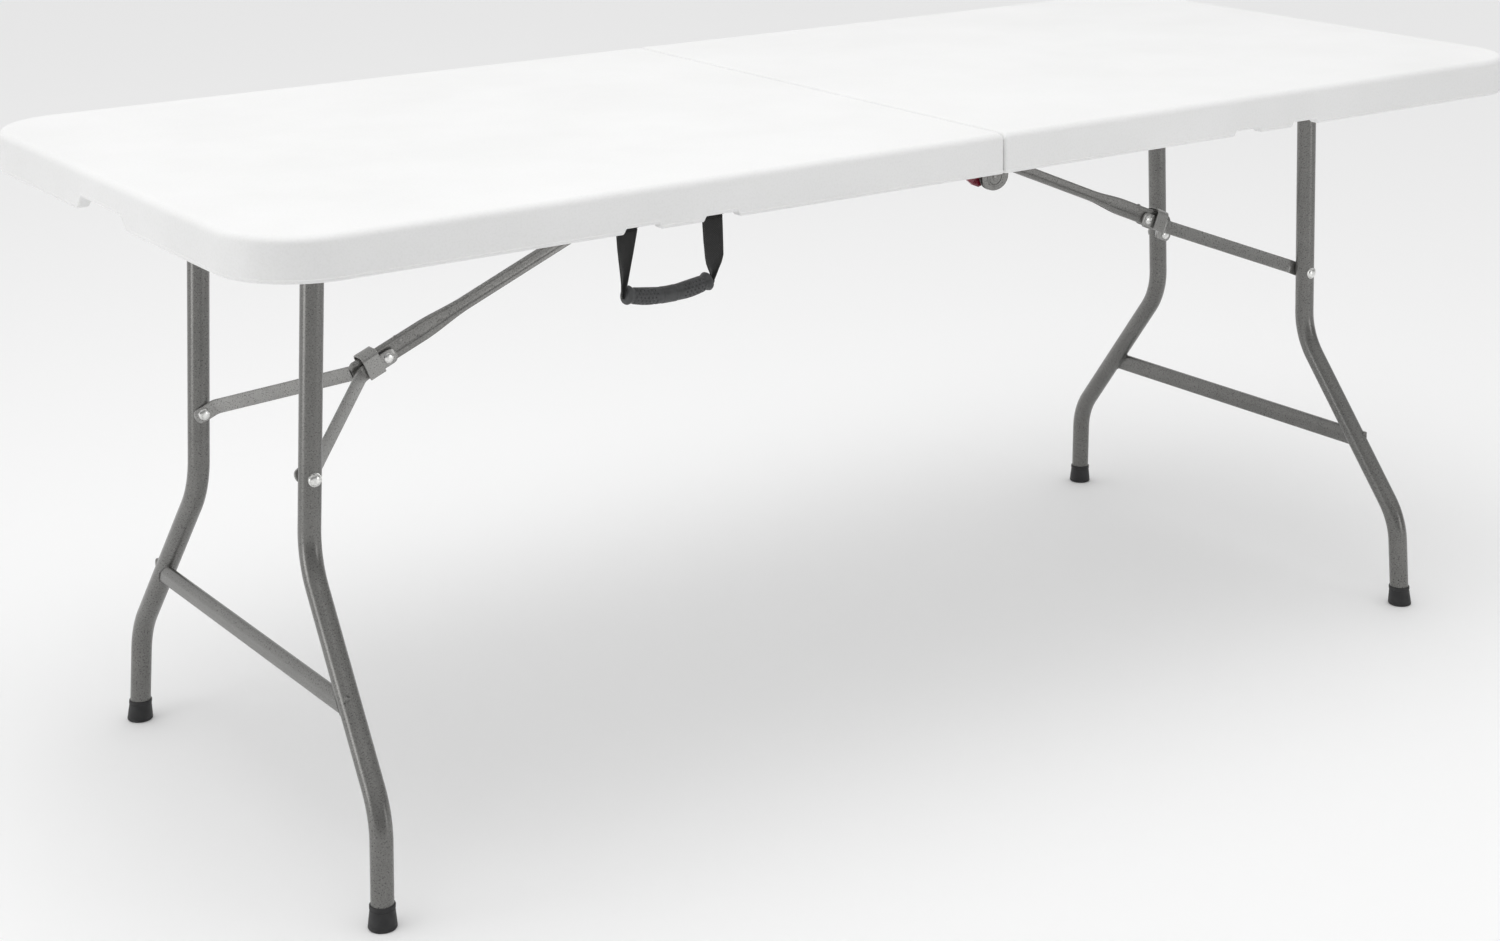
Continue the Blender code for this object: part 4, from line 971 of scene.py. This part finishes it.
def hinge_plate(word, side, edge, near):
    """A plate with an oval end on the fold's axis and an arm along the rail. The right one has a rim."""
    node, body = f"{word}_hinge_plate_{edge}", word + "_half"
    low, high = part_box(node)
    inner, outer = reach_y(node)
    wide, reach = sorted((abs(low.x), abs(high.x)))
    arm_low, arm_high = high.z - PLATE_ARM, high.z
    axis = axis_of("table_fold")
    radius = axis[2] - low.z
    outline = []
    for i in range(61):
        turn = radians(-250 * (1 - i / 60))
        outline.append((wide * cos(turn), axis[2] + radius * sin(turn)))
    outline += [(wide + 0.0003, arm_low - 0.0026), (wide + 0.0013, arm_low - 0.0008)]
    outline += [(wide + 0.003, arm_low)]
    for start, z in ((270, arm_low + PLATE_CORNER), (0, arm_high - PLATE_CORNER)):
        outline += quarter((reach - PLATE_CORNER, z), PLATE_CORNER, start, 8)
    outline += [(0.004, arm_high), (-0.006, arm_high - 0.008)]
    rings = [[Vector((side * x, near * y, z)) for x, z in outline] for y in (inner, outer)]
    cover(node, "steel", loft(rings), STEEL, body, 30, 0.00045)
    if word == "right":
        rim = [(outer + t, radius - r) for t, r in (
            (-0.0004, 0.0034), (0.0002, 0.0036), (0.0006, 0.0046), (0.0006, 0.0062), (0.0002, 0.0070),
            (-0.0004, 0.0072))]
        add(node + "_pressed_rim", turned(axis, (0, near, 0), rim, 64, True), STEEL, body)


def centre_hinges():
    axis, body = axis_of("table_fold"), "left_half"
    head, tip = reach_y("hinge_pin_front")
    pin = [(head + 0.0002, 0.0020), (head - 0.0004, 0.0050), (head + 0.0007, 0.0066), (head + 0.0023, 0.0070),
           (head + 0.0026, 0.0066), (head + 0.0026, 0.0040), (tip - 0.0004, 0.0040), (tip - 0.0001, 0.0034),
           (tip, 0.0010)]
    inner, outer = reach_y("hinge_washer_front")
    washer = [(inner, 0.0043), (inner, 0.0092), (inner + 0.0003, 0.0095), (outer - 0.0003, 0.0095),
              (outer, 0.0092), (outer, 0.0043)]
    for edge, near in EDGES:
        cover(f"hinge_pin_{edge}", "steel", turned(axis, (0, near, 0), pin), PRESSED, body)
        cover(f"hinge_washer_{edge}", "steel", turned(axis, (0, near, 0), washer, 40, True), BRIGHT, body)


def latch():
    """The CAD's pawl with ribs on its finger, and its pin."""
    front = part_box("red_latch")[0].y
    keep("red_latch", RED, 0.0009)
    ribs = []
    for i in range(4):
        start = Vector((LATCH_RIB_X + i * 0.0022, front - 0.0002, LATCH_RIB_Z - i * 0.0004))
        end = start + Vector((0.0012, 0, 0.0016)) * 3
        ribs.append(loft([ring(place, (0.6, 0, 0.8), 0.0005, 10) for place in (start, end)]))
    add("latch_ribs", joined(*ribs), RED, "latch")
    head, tip = reach_y("latch_pin")
    pin = [(tip, 0.0010), (tip, 0.0025), (head + 0.0022, 0.0025), (head + 0.0020, 0.0046),
           (head + 0.0010, 0.0046), (head + 0.0003, 0.0040), (head, 0.0020)]
    cover("latch_pin", "steel", turned(axis_of("latch_swing"), (0, -1, 0), pin), BRIGHT, "left_half")


# ---------- carry handle


def bail():
    low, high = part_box("handle_bail")
    z = JOINTS["handle_swing"]["pos_m"][2]
    y = (low.y + high.y) / 2
    left, right = low.x + WIRE, high.x - WIRE
    path = rounded_path([(left, y, high.z), (left, y, z), (right, y, z), (right, y, high.z)], 0.004, 8)
    cover("handle_bail", "wire", loft(sweep(path, circle(WIRE, 24), (0, 1, 0))), STEEL, "left_half")


def between(table, share):
    """Left and right edge at a share, up to 1, of the strap's drop."""
    for (start, *first), (end, *second) in zip(table, table[1:]):
        if share <= end:
            part = (share - start) / (end - start)
            return [a + (b - a) * part for a, b in zip(first, second)]


def strap(word, inward):
    """A webbing band: round the wire, down in a flat fall, then gathered into the end of the grip."""
    node = f"handle_strap_{word}"
    pivot = Vector(JOINTS["handle_swing"]["pos_m"])
    grip_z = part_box("handle_grip")[1].z - GRIP_DROP
    half = STRAP_HALF
    top_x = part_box(node)[1].x - half
    rows = []
    for i in range(13):
        turn = radians(250 - 320 * i / 12)
        y, z = pivot.y + STRAP_LOOP * cos(turn), pivot.z + STRAP_LOOP * sin(turn)
        rows.append((Vector((top_x, y, z)), -half, half, 0.0))
    start_z = pivot.z - 0.0062
    steps = 26
    for i in range(steps + 1):
        share = i / steps
        left, right = between(STRAP_EDGES[word], share)
        narrow = 1 - (right - left) / (2 * half)
        bow = 0.0014 * sin(pi * share)
        place = Vector((top_x, pivot.y - bow, start_z - (start_z - grip_z) * share))
        rows.append((place, left, right, 0.0052 * narrow))
    for i in range(1, 7):
        turn = radians(90 * i / 6)
        x, z = top_x + inward * 0.0016 * (1 - cos(turn)), grip_z - 0.0038 * sin(turn)
        rows.append((Vector((x, pivot.y, z)), left, right, 0.0044))
    points, uvs = [], []
    travelled = 0.0
    for i, (place, left, right, fold) in enumerate(rows):
        if i:
            travelled += (place - rows[i - 1][0]).length
        for j in range(STRAP_COLUMNS):
            s = -1 + 2 * j / (STRAP_COLUMNS - 1)
            x = left + (right - left) * (s + 1) / 2
            points.append(place + Vector((x, fold * (0.35 - s * s), 0)))
            uvs.append((s * half, travelled))
    shape = (points, grid(len(rows), STRAP_COLUMNS), uvs)
    band = cover(node, "webbing", shape, WEBBING, "handle", 60)
    thick = band.modifiers.new("thickness", "SOLIDIFY")
    thick.thickness = STRAP_THICKNESS
    thick.offset = 0.0
    soften(band, 0.0004, 2)
    stitches = []
    for level in STITCH_ROWS:
        y = pivot.y - 0.0029 + (level - STITCH_ROWS[0]) * 0.6
        for i in range(STITCHES):
            stitches.append(stitch(Vector((top_x - 0.0105 + STITCH_PITCH * i, y, pivot.z - level))))
    add(node + "_stitching", joined(*stitches), THREAD, "handle")


def stitch(place):
    levels = ((-0.5, 0.0001), (-0.42, 0.00026), (0.0, 0.00032), (0.42, 0.00026), (0.5, 0.0001))
    return turned(place, (1, 0, 0), [(t * STITCH, r) for t, r in levels], 8)


def grip():
    """The sagging grip: a bead and a groove at each end, rows of dimples, a middle band and a slit."""
    low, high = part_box("handle_grip")
    y = (low.y + high.y) / 2
    start_z = high.z - GRIP_DROP
    count, sides = 240, 88
    length = high.x - low.x - 0.0006
    dimples = []
    for side in (-1, 1):
        for row, turn in enumerate((-48, -24, 0, 24, 48)):
            for k in range(6):
                place = 0.5 + side * (0.160 + 0.043 * k + (0.0 if row % 2 else 0.021))
                dimples.append((place, radians(180 + turn)))
                dimples.append((place, radians(turn) % (2 * pi)))
    rings = []
    for i in range(count + 1):
        share = i / count
        centre = Vector((low.x + 0.0003 + length * share, y, start_z - GRIP_SAG * 4 * share * (1 - share)))
        up = Vector((length, 0, -GRIP_SAG * 4 * (1 - 2 * share))).normalized().cross(Vector((0, 1, 0)))
        edge = min(share, 1 - share) * length
        bead = exp(-((edge - 0.0046) / 0.0026) ** 2)
        groove = exp(-((edge - 0.0098) / 0.0012) ** 2)
        radius = GRIP_RADIUS - 0.0004 * cos(4 * pi * share) + (0.0016 * bead - 0.0007 * groove)
        if edge < GRIP_END:
            radius *= sqrt(max(1 - ((GRIP_END - edge) / GRIP_END) ** 2, 0.02))
        band = smooth(0.085, 0.075, abs(share - 0.5))
        slit = exp(-(((share - 0.34) * length) / 0.0007) ** 2)
        section = []
        for j in range(sides):
            turn = 2 * pi * j / sides
            r = radius + 0.0004 * band
            for place, angle in dimples:
                run = (share - place) * length
                if abs(run) < 0.0014:
                    gap = (turn - angle + pi) % (2 * pi) - pi
                    r -= 0.0013 * (1 - smooth(0.0004, 0.0013, hypot(run, gap * radius)))
            r -= 0.0026 * slit * smooth(0.35, 0.75, -sin(turn))
            section.append(centre + Vector((0, r * cos(turn), 0)) + up * (r * sin(turn)))
        rings.append(section)
    cover("handle_grip", "moulding", loft(rings), GRIP, "handle", 50)


# ---------- floor, light and camera


def studio():
    """A pale floor that is clear from below, a soft sky, dimmer on the camera's side, and three lamps."""
    mesh = bpy.data.meshes.new("floor")
    corners = [(a * FLOOR_HALF, b * FLOOR_HALF, 0) for a, b in ((-1, -1), (1, -1), (1, 1), (-1, 1))]
    mesh.from_pydata(corners, [], [(0, 1, 2, 3)])
    floor = put("floor", mesh)
    pale = Finish("pale_floor", None, (0.95, 0.95, 0.95), 0.9)
    seen = pale.node("ShaderNodeMixShader")
    pale.link(pale.node("ShaderNodeNewGeometry").outputs["Backfacing"], seen.inputs[0])
    pale.link(pale.shader.outputs[0], seen.inputs[1])
    pale.link(pale.node("ShaderNodeBsdfTransparent").outputs[0], seen.inputs[2])
    pale.link(seen.outputs[0], pale.tree.nodes["Material Output"].inputs["Surface"])
    mesh.materials.append(pale.material)
    world = bpy.data.worlds.new("studio")
    bpy.context.scene.world = world
    world.use_nodes = True
    sky = Nodes(world.node_tree)
    split = sky.node("ShaderNodeSeparateXYZ")
    sky.link(sky.node("ShaderNodeTexCoord").outputs["Generated"], split.inputs[0])
    rise = sky.remap(split.outputs["Z"], From_Min=-1.0)
    turn = sky.remap(split.outputs["Y"], From_Min=-0.5, From_Max=0.5)
    front, back = (sky.ramp(rise, (0.51, horizon), (1.0, 1.0)) for horizon in (0.14, 0.80))
    sky.link(sky.mix(turn, front, back), sky.tree.nodes["Background"].inputs["Color"])
    lamp("key", (-0.7, -0.5, 3.6), (0, 0, 0.6), 33.0, 2.6, 180)
    lamp("side", (-2.6, 0.2, 0.50), (-0.73, 0, 0.42), 0.8, 0.7, 70)
    lamp("fill", (1.3, -2.6, 0.50), (0, 0, 0.45), 1.0, 0.8, 70)
    bpy.context.scene.view_settings.view_transform = "Standard"


def lamp(name, place, target, power, size, spread):
    data = bpy.data.lights.new(name, "AREA")
    data.energy = power
    data.size = size
    data.spread = radians(spread)
    obj = put(name, data)
    obj.location = place
    obj.rotation_euler = (Vector(target) - Vector(place)).to_track_quat("-Z", "Y").to_euler()


def camera():
    azimuth, elevation, roll = (radians(angle) for angle in CAMERA_TURN)
    data = bpy.data.cameras.new("camera")
    data.lens = CAMERA_LENS
    data.sensor_width = 36.0
    obj = put("camera", data)
    turn = Matrix.Rotation(-azimuth, 4, "Z") @ Matrix.Rotation(pi / 2 - elevation, 4, "X")
    obj.matrix_world = Matrix.Translation(CAMERA_PLACE) @ turn @ Matrix.Rotation(roll, 4, "Z")
    bpy.context.scene.camera = obj


def main():
    camera()
    studio()
    for word, side in (("left", -1), ("right", 1)):
        half = word + "_half"
        cover(word + "_top", "shell", top_shell(side), PLASTIC, half, 34)
        add(word + "_top_underside", top_panel(side), PLASTIC, half, angle=50)
        leg_frame(word, side)
        brace = Brace(word, side)
        strut(word, brace)
        for edge, near in EDGES:
            arm(word, brace, edge, near)
        knee_and_ring(word, brace)
        half_hardware(word, side)
    centre_hinges()
    latch()
    bail()
    strap("left", 1)
    strap("right", -1)
    grip()


main()
